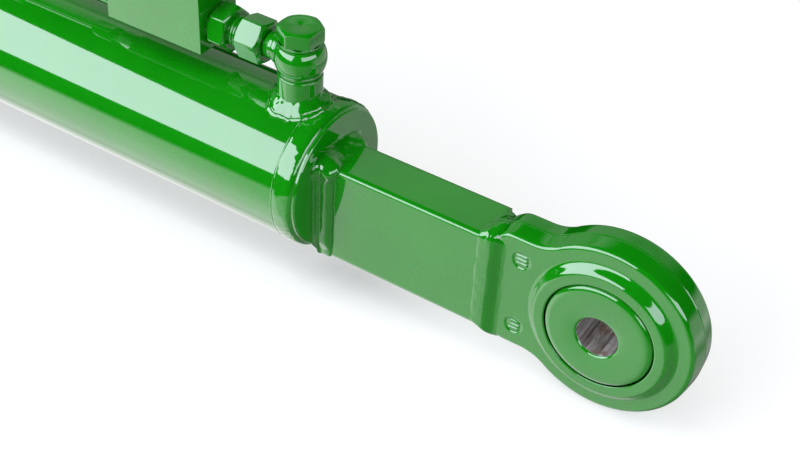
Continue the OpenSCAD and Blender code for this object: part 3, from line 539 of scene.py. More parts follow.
# Base eye: forged with a raised ring, its outline rounded and drafted to a parting line
eye = {
    "radius": 42.7, "halfThickness": 9.6, "edgeRadius": 2.1, "draft": 0.75,
    "ringRadius": 31.1, "ringHalfWidth": 13.5, "flankEnd": 35.2, "raceRadius": 28.2, "mouthOpening": 0.95,
    "neckHalfHeight": 30.75, "neckLength": 55.6, "filletRadius": 19.5,
    "bevelLength": 6.8, "bevelHeight": 5.0, "bevelRounding": 4.0,
    "markRadius": 4.5, "markDepth": 0.6, "markOut": 40.8, "markUp": 18.4, "markWall": 0.6,
    "markBarPitch": 2.0, "markBarWidth": (0.75, 0.3), "markBarLength": (3.1, 2.5),
    "unevenness": 0.14, "unevenScale": 0.07, "partingGroove": 0.35, "lipDepth": 3.0,
    # Radius beyond the ring's mouth, and beyond the ring, with the depth below the ring's face
    "mouthProfile": [(-0.2, 2.8), (0, 2.4), (0, 0.5), (0.12, 0.2), (0.35, 0), (1.0, 0)],
    "ringProfile": [(-1.4, 0), (-0.9, 0), (-0.35, 0.12), (0.2, 0.5), (0.75, 1.05), (1.35, 1.75),
                    (1.95, 2.45), (2.55, 3.1), (3.0, 3.5), (3.5, 3.78)],
    "partingProfile": [(0.8, 0.1), (0.45, 0.06), (0.28, 0.12)],  # distance from the middle and inset
}


def eyeOutline(e, step=0.55):
    r, f = e["radius"], e["filletRadius"]
    fz = e["neckHalfHeight"] + f
    fx = -sqrt((r + f) ** 2 - fz ** 2)
    touch = atan2(fz, fx)
    count = round(r * touch / step)
    half = [(r * cos(touch * k / count), r * sin(touch * k / count)) for k in range(count + 1)]
    start = atan2(-fz, -fx)  # from the fillet's centre towards the eye
    count = round(f * abs(start + pi / 2) / step)
    for k in range(1, count + 1):
        turn = start + (-pi / 2 - start) * k / count
        half.append((fx + f * cos(turn), fz + f * sin(turn)))
    h, bl, bh = e["neckHalfHeight"], e["bevelLength"], e["bevelHeight"]
    line = [half[-1], (-e["neckLength"] + bl, h), (-e["neckLength"], h - bh), (-e["neckLength"], 0)]
    corners = softCorners(line, e["bevelRounding"], 6)
    for a, b in zip(corners, corners[1:]):
        count = max(round(dist(a, b) / step), 1)
        half += [(a[0] + (b[0] - a[0]) * k / count, a[1] + (b[1] - a[1]) * k / count)
                 for k in range(1, count + 1)]
    return half + [(x, -z) for x, z in reversed(half[1:-1])]


def forgingMark(e, x, z):
    # Depth of the two marks: a round recess with three bars standing in it
    sink = 0
    for side in (-1, 1):
        dx, dz = x + e["markOut"], z - side * e["markUp"]
        inside = smooth(e["markRadius"], e["markRadius"] - e["markWall"], hypot(dx, dz))
        bars = max(smooth(*e["markBarWidth"], abs(dz - row * e["markBarPitch"])) for row in (-1, 0, 1))
        sink += e["markDepth"] * inside * (1 - bars * smooth(*e["markBarLength"], abs(dx)))
    return sink


def makeEye(name, e, outline, centre, body, node, marks=True, more=()):
    # Rows run from the race over the ring, the flank and the edge to the parting line, and back
    outline = [Vector(p) for p in outline]
    along = [b - a for a, b in zip(outline[-1:] + outline, outline[1:] + outline[:1])]
    outward = [Vector((t.y, -t.x)).normalized() for t in along]
    angles = [atan2(p.y, p.x) for p in outline]
    h, ringH, ringR = e["halfThickness"], e["ringHalfWidth"], e["ringRadius"]
    mouth = sqrt(e["raceRadius"] ** 2 - ringH ** 2)
    opened = mouth + e["mouthOpening"]
    circles = [(mouth + 0.15, ringH - e["lipDepth"])]
    circles += [(opened + r, ringH - depth) for r, depth in e["mouthProfile"]]
    circles += [(ringR + r, ringH - depth) for r, depth in e["ringProfile"]] + [(e["flankEnd"], h)]
    flankRows, edgeRows, raceRows = 42, 6, 16

    def circle(r, y):
        return [(r * cos(a), y, r * sin(a)) for a in angles]

    def inward(depth, y):
        return [(p.x - o.x * depth, y, p.y - o.y * depth) for p, o in zip(outline, outward)]

    edge = e["edgeRadius"] + e["draft"]
    rows = []
    for side in (-1, 1):
        half = [circle(r, side * y) for r, y in circles]
        for k in range(1, flankRows + 1):
            t = k / flankRows
            row = []
            for p, o, a in zip(outline, outward, angles):
                inner = Vector((cos(a), sin(a))) * e["flankEnd"]
                q = inner.lerp(p - o * edge, t)
                y = h + e["unevenness"] * lumps((q.x, q.y, side * 9), e["unevenScale"]) * smooth(0, 0.15, t)
                if side < 0 and marks:
                    y -= forgingMark(e, q.x, q.y)
                row.append((q.x, side * y, q.y))
            half.append(row)
        for k in range(1, edgeRows + 1):
            turn = pi / 2 * k / edgeRows
            inset = e["draft"] + e["edgeRadius"] * (1 - sin(turn))
            y = h - e["edgeRadius"] * (1 - cos(turn))
            half.append(inward(inset, side * y))
        for y, inset in ((h * 0.5, e["draft"] * 0.55), *e["partingProfile"]):
            half.append(inward(inset, side * y))
        rows += half if side < 0 else half[::-1]
        if side < 0:
            rows.append(inward(e["partingGroove"], 0))
    for k in range(1, raceRows):
        y = (ringH - e["lipDepth"]) * (1 - 2 * k / raceRows)
        rows.append(circle(sqrt(e["raceRadius"] ** 2 - y * y), y))
    verts, faces = loft(rows, ring=True)
    verts = [Vector(p) + Vector(centre) for p in verts]
    piece = makePiece(name, [(verts, faces), *more], forgedPaint, sharp=50)
    # Painted shade: faces deep in the gap round the ball get the near-black finish
    piece.data.materials.append(seam)
    for face in piece.data.polygons:
        x, y, z = face.center / mm - Vector(centre)
        if hypot(x, z) < opened + 0.06 and abs(y) < ringH - 0.5:
            face.material_index = 1
    settle(piece, body, "green_paint", node)


def rodShank(centre, s):
    # The shank runs into the eye with a soft neck
    length, radius, straight = s["length"], s["radius"], s["straight"]
    line = [(length, 0), (length, radius - s["bevelHeight"]), (length - s["bevelLength"], radius),
            (length - straight, radius)]
    for k in range(1, 13):
        t = k / 12
        narrower = (radius - s["waist"]) * smooth(0, 1, t) ** 0.9
        line.append((length - straight - s["taper"] * t, radius - narrower))
    line += [(s["inside"], s["waist"]), (s["inside"], 0)]
    return turned(line, centre, (1, 0, 0), 96)


def roundEye(e, step=0.6):
    r = e["radius"]
    count = round(tau * r / step)
    turns = [tau * k / count for k in range(count)]
    return [(r * cos(turn), r * sin(turn)) for turn in turns]


shank = {
    "length": 54.2, "radius": 20.0, "straight": 7.4, "bevelLength": 1.2, "bevelHeight": 1.4,
    "taper": 17.0, "waist": 10.4, "inside": 28.6,
}
rodBallCentre = (-490.9, 0, 11)
makeEye("baseEye", eye, eyeOutline(eye), (0, 0, 0), "cylinder", "eye_forging")
makeEye("rodEye", eye, roundEye(eye), rodBallCentre, "rod", "rod_eye_forging",
        marks=False, more=[rodShank(rodBallCentre, shank)])
print("eyes made")


# Ball of each eye: painted outside, with bare steel in the pin bore and painted shade where it sits in the
# ring
ball = {
    "radius": 28.1, "halfWidth": 14.4, "boreRadius": 9.6, "chamfer": 0.8, "edgeIn": 3.3, "edgeOver": 1.4,
    "gapShadeWithin": 12.6, "gapShadeBeyond": 9,
}


def ballProfile(b):
    w, r, hole, chamfer = b["halfWidth"], b["radius"], b["boreRadius"], b["chamfer"]
    flat = sqrt(r * r - w * w)
    start = asin(w / r) - b["edgeOver"] / r
    corner, inner = Vector((-w, flat)), Vector((-w, flat - b["edgeIn"]))
    outer = Vector((-r * sin(start), r * cos(start)))
    half = [(0, hole), (-w + chamfer + 0.3, hole), (-w + chamfer, hole + 0.05),
            (-w + 0.1, hole + chamfer), (-w, hole + chamfer + 0.3), (-w, inner.y - 0.4)]
    for k in range(9):
        t = k / 8
        half.append(tuple(inner * (1 - t) ** 2 + corner * 2 * t * (1 - t) + outer * t * t))
    turns = [start * (1 - k / 16) for k in range(1, 16)]
    half += [(-r * sin(turn), r * cos(turn)) for turn in turns]
    return half + [(0, r)] + [(-d, q) for d, q in reversed(half[1:])]


def makeBall(name, b, centre, body, node):
    piece = makePiece(name, [turned(ballProfile(b), centre, (0, 1, 0), 128)], forgedPaint, sharp=60)
    piece.data.materials.append(bore)
    piece.data.materials.append(seam)
    # Bore faces get bare steel; the sphere zone inside the ring gets painted shade
    for face in piece.data.polygons:
        x, y, z = face.center / mm - Vector(centre)
        if hypot(x, z) < b["boreRadius"] + b["chamfer"] * 0.4:
            face.material_index = 1
        elif hypot(x, z) > b["boreRadius"] + b["gapShadeBeyond"] and abs(y) < b["gapShadeWithin"]:
            face.material_index = 2
    settle(piece, body, "green_paint", node)


makeBall("baseBall", ball, (0, 0, 0), "base_ball", "base_ball")
makeBall("rodBall", ball, rodBallCentre, "rod_ball", "rod_ball")
print("balls made")


# Rolled flat bar with rounded edges
bar = {"from": -143.2, "to": -58.6, "halfHeight": 25.5, "halfThickness": 12.8, "edge": 2.3}


def roundedSlab(x, halfHeight, halfThickness, radius, steps=5):
    corners = [(-halfThickness, -halfHeight), (halfThickness, -halfHeight),
               (halfThickness, halfHeight), (-halfThickness, halfHeight)]
    return [(x, p.x, p.y) for p in softCorners(corners, radius, steps, closed=True)]


def makeBar(b):
    places = [b["from"] + (b["to"] - b["from"]) * k / 12 for k in range(13)]
    sections = [roundedSlab(x, b["halfHeight"], b["halfThickness"], b["edge"]) for x in places]
    greenPiece("flatBar", [loft(sections)], "flat_bar", forgedPaint, 28)


makeBar(bar)


# Butt weld between bar and neck: a broad smooth band that sinks into both
eyeWeld = {
    "lump": 0.22, "backTop": 25.6, "grain": 1.2,
    "knot": 1.2, "knotAt": (-56.0, -10.5, 24.5), "knotSpread": (9, 12, 16),
    # Place, height of the top, depth of the bottom, half thickness, rounding of the top
    "stations": [
        (-63.0, 24.4, 24.4, 12.0, 2.3), (-61.4, 25.4, 25.3, 12.72, 2.5), (-60.2, 26.3, 25.5, 12.9, 3.0),
        (-58.6, 27.3, 25.7, 13.0, 5.5), (-56.8, 28.3, 26.4, 13.0, 7.5), (-55.0, 29.0, 27.5, 12.8, 9.0),
        (-53.4, 29.2, 28.6, 12.1, 9.2), (-52.2, 28.8, 29.4, 11.3, 8.6), (-51.2, 27.9, 30.0, 10.6, 7.6),
        (-50.2, 27.0, 30.3, 10.1, 6.4), (-49.0, 26.2, 30.3, 9.75, 5.5), (-47.8, 25.6, 30.0, 9.5, 5.0),
        (-46.5, 25.0, 29.6, 9.0, 5.0),
    ],
}


def makeEyeWeld(w):
    sections = []
    for x, top, low, t, r in w["stations"]:
        below, above = roundedSlab(x, low, t, 2.6, 9), roundedSlab(x, top, t, r, 9)
        base = below[:24] + above[24:]  # the lower and the upper two corners
        drop = max(top - w["backTop"], 0)  # towards the back the weld is no higher than the bar
        base = [Vector((px, py, pz - drop * smooth(-2, 8, py) * smooth(12, 22, pz))) for px, py, pz in base]
        sections.append(refined(base, w["grain"], int))
    count = min(len(s) for s in sections)
    even = [[s[round(k * len(s) / count) % len(s)] for k in range(count)] for s in sections]
    rows = []
    for a, b in zip(even, even[1:]):
        for k in range(4):
            rows.append([p.lerp(q, k / 4) for p, q in zip(a, b)])
    rows.append(even[-1])
    (kx, ky, kz), (sx, sy, sz) = w["knotAt"], w["knotSpread"]
    out = []
    for i, row in enumerate(rows):
        amount = w["lump"] * smooth(0, 8, i) * smooth(len(rows) - 1, len(rows) - 9, i)
        centre = Vector((row[0].x, 0, 0))
        ring = []
        for p in row:
            away = (p - centre).normalized()
            knot = w["knot"] * exp(-((p.x - kx) ** 2 / sx + (p.y - ky) ** 2 / sy + (p.z - kz) ** 2 / sz))
            shift = Vector((lumps(p, 0.12, 3) * amount * 0.8, 0, 0))
            ring.append(p + away * (lumps(p, 0.22) * amount + knot * (1 + 0.5 * lumps(p, 0.5, 6))) + shift)
        out.append(ring)
    greenPiece("neckWeld", [loft(out)], "eye_weld", weldPaint, 60)


makeEyeWeld(eyeWeld)
print("bar and neck weld made")


# Fillet weld up the bar's front, over its top and down its back, on the end cap
barWeld = {
    "capFace": -143.2, "halfThickness": 12.8, "halfHeight": 25.5, "rimMeets": -16.0,
    "sideLeg": 7.0, "topLeg": 4.6, "barLeg": 7.0, "lump": 0.45, "knot": 2.6, "stitch": 2.4,
    "plateau": 0.52, "leastLeg": 0.4, "endLength": 3.5, "corner": 1.5, "knotSpread": 14, "sunk": 1.5,
}


def barWeldPath(w):
    # Points (y, z) round the bar with the outward direction there
    t, h, r = w["halfThickness"], w["halfHeight"], w["corner"]
    path = []
    count = 46
    for side in (-1, 1):
        run = [((side * t, 0.3 - h + (2 * h - 1.8) * k / count), (side, 0)) for k in range(count + 1)]
        for k in range(1, 8):
            turn = pi / 2 * k / 8
            at = (side * (t - r + r * cos(turn)), h - r + r * sin(turn))
            run.append((at, (side * cos(turn), sin(turn))))
        if side < 0:
            path += run
            path += [((-t + r + (2 * t - 2 * r) * k / 20, h), (0, 1)) for k in range(21)]
        else:
            path += run[::-1]
    return path


def makeBarWeld(w):
    path = barWeldPath(w)
    sections = []
    steps = 40
    run = 0.0
    for i, ((y, z), (oy, oz)) in enumerate(path):
        if i:
            run += dist(path[i - 1][0], (y, z))
        top = max(oz, 0)
        leg = w["sideLeg"] * (1 - top) + w["topLeg"] * top
        knot = exp(-((y + w["halfThickness"] - 1) ** 2 + (z - w["halfHeight"] + 1) ** 2) / w["knotSpread"])
        leg += w["knot"] * knot * 0.6 + 0.5 * lumps((y, z, 0), 0.13, 5)
        barLeg = w["barLeg"] + w["knot"] * knot + 0.6 * lumps((y, z, 0), 0.11, 9)
        # Past the cap's rim the weld runs out towards the bar's lower corner
        leg *= min(max((z + w["halfHeight"]) / (w["rimMeets"] + w["halfHeight"]), w["leastLeg"]), 1)
        end = sqrt(1 - 0.9 * (1 - min((z + w["halfHeight"]) / w["endLength"], 1)) ** 2)
        leg *= end
        barLeg *= 0.75 + 0.25 * end
        section = [Vector((w["capFace"] - w["sunk"], y - oy * w["sunk"], z - oz * w["sunk"]))]
        for k in range(steps + 1):
            t = k / steps
            bulge = 4 * t * (1 - t)
            # Up the sides the weld is nearly flat between a hollow at the cap and a round toe on the bar
            flat = w["plateau"] * (1 - t ** 4) ** 0.7 + (1 - w["plateau"]) * exp(-(t / 0.12) ** 2)
            a = leg * (top * (1 - t) ** 1.15 * (1 + 0.2 * bulge) + (1 - top) * flat)
            b = barLeg * (top * t ** 1.15 * (1 + 0.2 * bulge) + (1 - top) * t)
            ripple = (0.02 + 0.05 * top) * sin(tau * (run + 1.6 * bulge) / w["stitch"]) * bulge
            rough = w["lump"] * (0.35 + 0.65 * top) * lumps((y + a, z, b), 0.3, 2) * bulge
            lift = ripple + rough + w["knot"] * 0.5 * knot * bulge
            a += lift * 0.7 - 0.25 * (k == steps)
            b += lift * 0.7 - 0.25 * (k == 0)
            section.append(Vector((w["capFace"] + b, y + oy * a, z + oz * a)))
        sections.append(section)
    greenPiece("barWeld", [loft(sections)], "bar_weld", weldPaint, 60)


makeBarWeld(barWeld)
print("bar weld made")


# Round weld between end cap and tube
capWeld = {
    "axis": 11.0, "capFace": -143.2, "lump": 0.28, "stitches": 62, "stitch": 0.07,
    # Distance from the cap's face towards the tube, and radius
    "profile": [(1.5, 33.0), (1.7, 33.5), (2.0, 34.1), (2.6, 34.75), (3.5, 35.2), (4.7, 35.5), (6.0, 35.62),
                (7.4, 35.66), (8.8, 35.64), (10.0, 35.56), (11.0, 35.4), (11.7, 35.2), (12.1, 35.0),
                (12.35, 34.6), (12.35, 32.0), (1.5, 32.0)],
}


def makeCapWeld(w):
    def uneven(p):
        angle = atan2(p.y, p.z - w["axis"])
        across = w["capFace"] - p.x
        inner = smooth(1.6, 3.4, across) * smooth(12.2, 9.8, across)
        stitch = w["stitch"] * sin(angle * w["stitches"] + across * 0.7)
        return (w["lump"] * lumps(p, 0.16, 4) + 0.1 * lumps(p, 0.5, 8) + stitch) * inner

    parts = [turned(w["profile"], (w["capFace"], 0, w["axis"]), (-1, 0, 0), 220, uneven)]
    greenPiece("capWeld", parts, "end_cap_weld", weldPaint, 70)


makeCapWeld(capWeld)


# The two ports with their fittings
ports = {
    "base": {"at": -164.7, "weldSeed": 1, "side": -1, "boltTurn": 27.8, "unionAt": -164.7},
    "rod": {"at": -366.7, "weldSeed": 4, "side": 1, "boltTurn": 8, "unionAt": -314.3},
}

# Weld round each port boss: it follows the saddle between boss and tube
portWeld = {
    "tubeRadius": 35.0, "axis": 11.0, "bossRadius": 10.4, "reach": 5.6, "climb": 5.6, "lump": 1.5,
    "fold": 0.5, "foldAt": 0.72, "foldWidth": 0.055, "foldRim": 0.3, "sunk": 1.6, "seam": 0.14,
}


def makePortWeld(name, x, w, node, seed):
    sections = []
    around, across = 150, 28
    for i in range(around):
        turn = tau * i / around
        c, s = cos(turn), sin(turn)
        broad, fine = (c * 2, s * 2, seed), (c * 5, s * 5, seed)
        reach = w["reach"] + 1.8 * lumps(broad, 1.0, seed) + 0.8 * lumps(fine, 1.0, seed + 3)
        climb = w["climb"] + 1.3 * lumps(broad, 1.1, seed + 5)

        def onTube(r, lift):
            return Vector((x + r * c, r * s, w["axis"] + sqrt(w["tubeRadius"] ** 2 - (r * s) ** 2) + lift))

        section = []
        for k in range(across + 1):
            t = k / across
            r = w["bossRadius"] - 0.3 + (reach + 0.3) * t
            lift = climb * (0.62 * (1 - t) ** 1.5 + 0.38 * (1 - t ** 2.6) ** 0.7)
            bulge = 4 * t * (1 - t)
            rough = w["lump"] * 0.5 * lumps((r * c, r * s, seed), 0.28, seed + 1) * bulge
            rough += 0.16 * lumps((r * c, r * s, seed), 0.75, seed + 2) * bulge
            rough += 0.06 * sin(turn * 24 + t * 2) * bulge
            # The second pass lies over the first
            fold = w["foldAt"] + 0.1 * lumps((c * 3, s * 3, seed), 1.0, seed + 6)
            rough -= w["fold"] * exp(-((t - fold) / w["foldWidth"]) ** 2)
            rough += w["foldRim"] * exp(-((t - fold - w["seam"]) / 0.09) ** 2)
            section.append(onTube(r, lift + rough - 0.35 * (k == across)))
        inner = w["bossRadius"] - 1.2
        section += [onTube(w["bossRadius"] + reach, -w["sunk"]), onTube(inner, -w["sunk"]),
                    onTube(inner, climb * 0.6)]
        sections.append(section)
    greenPiece(name, [loft(sections, ring=True)], node, weldPaint, 70)


for prefix, port in ports.items():
    makePortWeld(prefix + "PortWeld", port["at"], portWeld, prefix + "_port_weld", port["weldSeed"])
print("cap and port welds made")


# Geometry Nodes: threads and round weld beads
def newTree(name, *measures):
    tree = bpy.data.node_groups.new(name, "GeometryNodeTree")
    for label in measures:
        tree.interface.new_socket(label, in_out="INPUT", socket_type="NodeSocketFloat")
    tree.interface.new_socket("Finish", in_out="INPUT", socket_type="NodeSocketMaterial")
    tree.interface.new_socket("Geometry", in_out="OUTPUT", socket_type="NodeSocketGeometry")
    return tree, tree.nodes.new("NodeGroupInput"), tree.nodes.new("NodeGroupOutput")


def finishTree(tree, source, geometry, out):
    real = addNode(tree, "GeometryNodeRealizeInstances")
    soft = addNode(tree, "GeometryNodeSetShadeSmooth")
    finish = addNode(tree, "GeometryNodeSetMaterial")
    link(tree, geometry, real.inputs[0])
    link(tree, real, soft.inputs[0])
    link(tree, soft, finish.inputs[0])
    link(tree, source.outputs["Finish"], finish.inputs["Material"])
    link(tree, finish, out.inputs[0])


def threadTree():
    tree, source, out = newTree("threadCrests", "Turns", "Radius", "Length", "Crest")
    helix = addNode(tree, "GeometryNodeCurveSpiral", Resolution=48)
    for label, socket in (("Turns", "Rotations"), ("Radius", "Start Radius"), ("Radius", "End Radius"),
                          ("Length", "Height")):
        link(tree, source.outputs[label], helix.inputs[socket])
    crest = addNode(tree, "GeometryNodeCurvePrimitiveCircle", Resolution=8, Radius=source.outputs["Crest"])
    sweep = addNode(tree, "GeometryNodeCurveToMesh", Curve=helix)
    sweep.inputs["Fill Caps"].default_value = True
    link(tree, crest, sweep.inputs["Profile Curve"])
    finishTree(tree, source, sweep, out)
    return tree


def beadTree():
    tree, source, out = newTree("roundWeldBead", "Ring", "Bead", "Lump", "Ripple", "Stitches", "Seed")
    ring = addNode(tree, "GeometryNodeCurvePrimitiveCircle", Resolution=320, Radius=source.outputs["Ring"])
    profile = addNode(tree, "GeometryNodeCurvePrimitiveCircle", Resolution=18, Radius=source.outputs["Bead"])
    sweep = addNode(tree, "GeometryNodeCurveToMesh", Curve=ring)
    link(tree, profile, sweep.inputs["Profile Curve"])
    place = addNode(tree, "GeometryNodeInputPosition")
    xyz = addNode(tree, "ShaderNodeSeparateXYZ", Vector=place)
    rough = addNode(tree, "ShaderNodeTexNoise", noise_dimensions="4D", Vector=place, W=source.outputs["Seed"],
                    Scale=190.0, Detail=2.0)
    uneven = times(tree, mathNode(tree, "SUBTRACT", rough.outputs["Fac"], 0.5), source.outputs["Lump"])
    turn = mathNode(tree, "ARCTAN2", xyz.outputs["Y"], xyz.outputs["X"])
    lean = times(tree, xyz.outputs["Z"], 900.0)  # each ripple leans the way the weld ran
    wave = plus(tree, times(tree, turn, source.outputs["Stitches"]), lean)
    ripple = times(tree, mathNode(tree, "SINE", wave), source.outputs["Ripple"])
    normal = addNode(tree, "GeometryNodeInputNormal")
    push = addNode(tree, "ShaderNodeVectorMath", operation="SCALE", Scale=plus(tree, uneven, ripple))
    link(tree, normal, push.inputs[0])
    moved = addNode(tree, "GeometryNodeSetPosition", Geometry=sweep, Offset=push)
    finishTree(tree, source, moved, out)
    return tree


def grown(name, tree, values, at, along):
    # Runs a tree on an empty mesh and keeps its result as a plain mesh at its place
    seed = newObject(name + "Start", bpy.data.meshes.new(name + "Start"))
    modifier = seed.modifiers.new("grow", "NODES")
    modifier.node_group = tree
    for item in tree.interface.items_tree:
        if item.in_out == "INPUT":
            modifier[item.identifier] = values[item.name]
    graph = bpy.context.evaluated_depsgraph_get()
    mesh = bpy.data.meshes.new_from_object(seed.evaluated_get(graph), depsgraph=graph)
    bpy.data.objects.remove(seed)
    turn = Vector(along).to_track_quat("Z", "Y").to_matrix().to_4x4()
    mesh.transform(Matrix.Translation(Vector(at) * mm) @ turn)
    mesh.name = name
    return newObject(name, mesh)


threads = threadTree()
beads = beadTree()


# Toe of the cap weld on the tube, and the whole weld between rod and eye
roundWelds = {
    "capWeldToe": {
        "body": "cylinder", "replaced": [], "at": (-155.0, 0, 11), "ring": 34.5, "bead": 0.95,
        "lump": 0.3, "ripple": 0.02, "stitches": 90.0, "seed": 1.0,
    },
    "rodEyeWeld": {
        "body": "rod", "replaced": ["rod_eye_weld"], "at": (-434.9, 0, 11), "ring": 17.75, "bead": 2.15,
        "lump": 0.5, "ripple": 0.12, "stitches": 58.0, "seed": 2.0,
    },
}


def weldBead(name, w):
    values = {"Ring": w["ring"] * mm, "Bead": w["bead"] * mm, "Lump": w["lump"] * mm,
              "Ripple": w["ripple"] * mm, "Stitches": w["stitches"], "Seed": w["seed"], "Finish": weldPaint}
    settle(grown(name, beads, values, w["at"], (1, 0, 0)), w["body"], "green_paint", *w["replaced"])


def addThread(name, t, at, along, finish, slotName):
    values = {"Turns": t["length"] / t["pitch"], "Radius": t["radius"] * mm, "Length": t["length"] * mm,
              "Crest": t["pitch"] * t["crest"] * mm, "Finish": finish}
    settle(grown(name, threads, values, at, along), "cylinder", slotName)


for name, w in roundWelds.items():
    weldBead(name, w)
print("threads and beads ready")


# Port fittings: boss, sealing washers, banjo, banjo bolt, union nut and adapter
fittings = {
    "axis": 11.0, "pipeAxis": 68.3,
    "bossRadius": 10.4, "bossTop": 60.0, "bossEdge": 1.0, "bossFoot": 30.8,
    "tapRadius": 6.5, "tapDepth": 10.0,
    "washerRadius": 9.7, "washerBore": 6.7, "washerHeight": 1.7, "washerEdge": 0.65,
    "banjoRadius": 12.1, "banjoHalfHeight": 6.6, "boreRadius": 6.6,
    "neckRadius": 6.5, "neckLength": 17.0, "pipeRadius": 5.0, "pipeSocket": 6,
    "neckBead": [(7.5, 0), (9.6, 0.5), (11.0, 0.75), (11.9, 0.25), (13.0, 0)],  # distance out and lift
    "hexagon": 19.0, "headHeight": 7.6, "headChamfers": (0.6, 1.25), "dimple": 0.45,
    "boltFrom": 50.5, "boltRadius": 6.45,
    "nutFrom": 17.3, "nutLength": 12.8, "nutTurn": 40.7, "nutChamfers": (1.4, 0.9), "nutBore": 5.3,
    "adapterHexagon": 20.0, "adapterFrom": 36.1, "adapterLength": 9.2, "adapterTurn": 14,
    "adapterChamfers": (1.2, 1.2), "sealRadius": 7.6, "studRadius": 6.5, "studLength": 9,
    "stubRadius": 7.2, "thread": {"radius": 7.25, "length": 4.6, "pitch": 1.5, "crest": 0.42},
}


def hexagon(af, start, end, placed, turn, chamfers, bore=0.0, dimple=0.0):
    # Placed by its origin, its axis and the two directions across it
    origin, axis, u, v = (Vector(p) for p in placed)
    corner = af / (2 * cos(pi / 6))
    turns = [radians(turn + 60 * k) for k in range(6)]
    base = softCorners([(corner * cos(a), corner * sin(a)) for a in turns], 0.55, 4, closed=True)

    def cut(radius, chamfer):
        return max(radius - (corner - 1.8 * chamfer), 0) * (chamfer + 0.1) / (1.8 * chamfer + 0.2)

    def rim(face, inward, radius, chamfer):
        # From the flat face over the chamfer to the side
        flat = corner - 1.8 * chamfer
        steps = [(0, flat - 0.4), (0, flat), (cut(radius - 0.22, chamfer), radius - 0.22),
                 (cut(radius, chamfer) + 0.05, radius - 0.04), (cut(radius, chamfer) + 0.28, radius)]
        return [(face + inward * d, r) for d, r in steps]

    sections = []
    for q in refined(base, 0.8):
        radius, out = q.length, q.normalized()
        out = u * out.x + v * out.y
        profile = [(start, bore)] + rim(start, 1, radius, chamfers[0])
        profile += reversed(rim(end, -1, radius, chamfers[1]))
        if dimple:
            profile += [(end, 1.3), (end - dimple * 0.3, 0.9), (end - dimple, 0.4), (end - dimple, 0)]
        else:
            profile.append((end, bore))
        sections.append([origin + axis * d + out * r for d, r in profile])
    return loft(sections, ring=True)


def turnedSoft(profile, at, along, edge, closed=False, steps=72):
    # With rounded corners; a profile that isn't closed runs from axis to axis
    return turned(softCorners(profile, edge, 3, closed), at, along, steps)


def makeBoss(name, x, f, node):
    top, r, tap = f["bossTop"] - f["axis"], f["bossRadius"], f["tapRadius"]
    line = [(f["bossFoot"], 0), (f["bossFoot"], r), (top, r), (top, tap), (top - f["tapDepth"], tap),
            (top - f["tapDepth"], 0)]
    greenPiece(name, [turnedSoft(line, (x, 0, f["axis"]), (0, 0, 1), f["bossEdge"])], node)


def makeWashers(name, x, f, node):
    r, inner, h = f["washerRadius"], f["washerBore"], f["washerHeight"]
    ring = [(0, inner), (0, r), (h, r), (h, inner)]
    heights = (f["bossTop"], f["bossTop"] + h + 2 * f["banjoHalfHeight"])
    greenPiece(name, [turnedSoft(ring, (x, 0, z), (0, 0, 1), f["washerEdge"], True) for z in heights], node)


def makeBanjo(name, x, side, f, node):
    h, r = f["banjoHalfHeight"], f["banjoRadius"]
    start = asin(h / r)
    turns = [start * (k / 12 - 1) for k in range(25)]
    arc = [(r * sin(turn), r * cos(turn)) for turn in turns]
    edge = [(-h, f["boreRadius"] + 0.1), (-h, arc[0][1] - 0.7), (-h + 0.12, arc[0][1] - 0.2)]
    ring = edge + arc[1:-1] + [(-d, q) for d, q in reversed(edge)]
    at = (x, 0, f["pipeAxis"])
    n, length, pipe, socket = f["neckRadius"], f["neckLength"], f["pipeRadius"], f["pipeSocket"]
    neck = [(f["neckBead"][0][0], 0), *((d, n + lift) for d, lift in f["neckBead"]), (length - 0.8, n),
            (length, n - 0.8), (length, pipe), (length + socket, pipe), (length + socket, 0)]
    greenPiece(name, [turned(ring, at, (0, 0, 1), 96), turned(neck, at, (side, 0, 0), 72)], node)


def makeBolt(name, x, turn, f, node):
    seat = f["bossTop"] + 2 * f["washerHeight"] + 2 * f["banjoHalfHeight"]
    upright = ((x, 0, 0), (0, 0, 1), (1, 0, 0), (0, 1, 0))
    head = hexagon(f["hexagon"], seat, seat + f["headHeight"], upright, turn, f["headChamfers"],
                   dimple=f["dimple"])
    low, r = f["boltFrom"], f["boltRadius"]
    stem = [(low, 0), (low, r), (seat + 1, r), (seat + 1, 0)]
    greenPiece(name, [head, turnedSoft(stem, (x, 0, 0), (0, 0, 1), 0.3, steps=48)], node, sharp=28)


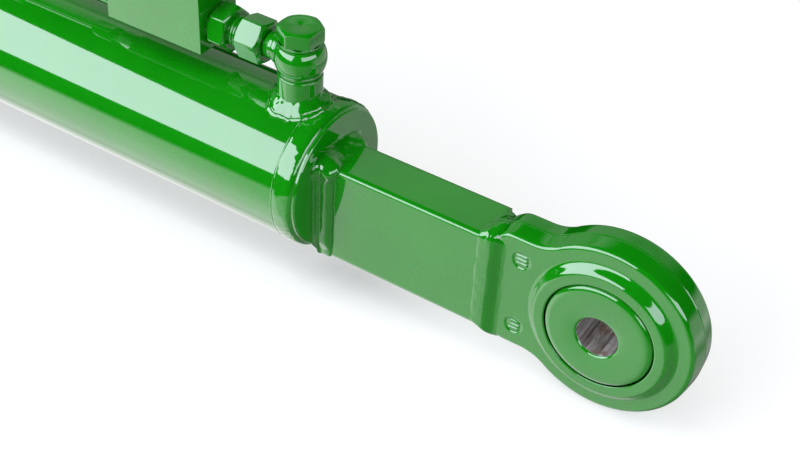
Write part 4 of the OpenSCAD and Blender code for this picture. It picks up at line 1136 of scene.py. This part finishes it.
def makeUnion(prefix, x, side, f):
    origin, axis = (x, 0, f["pipeAxis"]), (side, 0, 0)
    lying = (origin, axis, (0, 0, -side), (0, 1, 0))
    a, r = f["nutFrom"], f["stubRadius"]
    nut = hexagon(f["hexagon"], a, a + f["nutLength"], lying, f["nutTurn"], f["nutChamfers"],
                  bore=f["nutBore"])
    greenPiece(prefix + "UnionNut", [nut], prefix + "_union_nut", sharp=28)
    b, c = f["adapterFrom"], f["adapterFrom"] + f["adapterLength"]
    hexPart = hexagon(f["adapterHexagon"], b, c, lying, f["adapterTurn"], f["adapterChamfers"])
    stub = [(a + 8, 0), (a + 8, r), (b - 1.6, r), (b - 1.2, 6.6), (b + 1, 6.6), (b + 1, 0)]
    seal, thin, end = f["sealRadius"], f["studRadius"], c + f["studLength"]
    stud = [(c - 1, 0), (c - 1, seal), (c + 0.5, seal), (c + 0.5, thin), (end, thin), (end, 0)]
    parts = [hexPart, turned(stub, origin, axis, 72), turned(stud, origin, axis, 72)]
    greenPiece(prefix + "Adapter", parts, prefix + "_adapter", sharp=28)
    at = Vector(origin) + Vector(axis) * (a + f["nutLength"] - 0.8)
    addThread(prefix + "AdapterThread", f["thread"], at, axis, paint, "green_paint")


for prefix, port in ports.items():
    x, side = port["at"], port["side"]
    makeBoss(prefix + "PortBoss", x, fittings, prefix + "_port_boss")
    makeWashers(prefix + "BanjoWashers", x, fittings, prefix + "_banjo_washers")
    makeBanjo(prefix + "Banjo", x, side, fittings, prefix + "_banjo")
    makeBolt(prefix + "BanjoBolt", x, port["boltTurn"], fittings, prefix + "_banjo_bolt")
    makeUnion(prefix, port["unionAt"], side, fittings)
print("fittings made")


# Threads in the two supply ports on top of the valve block
supply = {"places": (-226.5, -252.5), "from": 103.6, "length": 8.4, "radius": 7.6, "pitch": 1.5, "crest": 0.3}
for number, x in enumerate(supply["places"], 1):
    addThread(f"supplyThread{number}", supply, (x, 0, supply["from"]), (0, 0, 1), bareSteel, "machined_steel")
print("supply threads made")
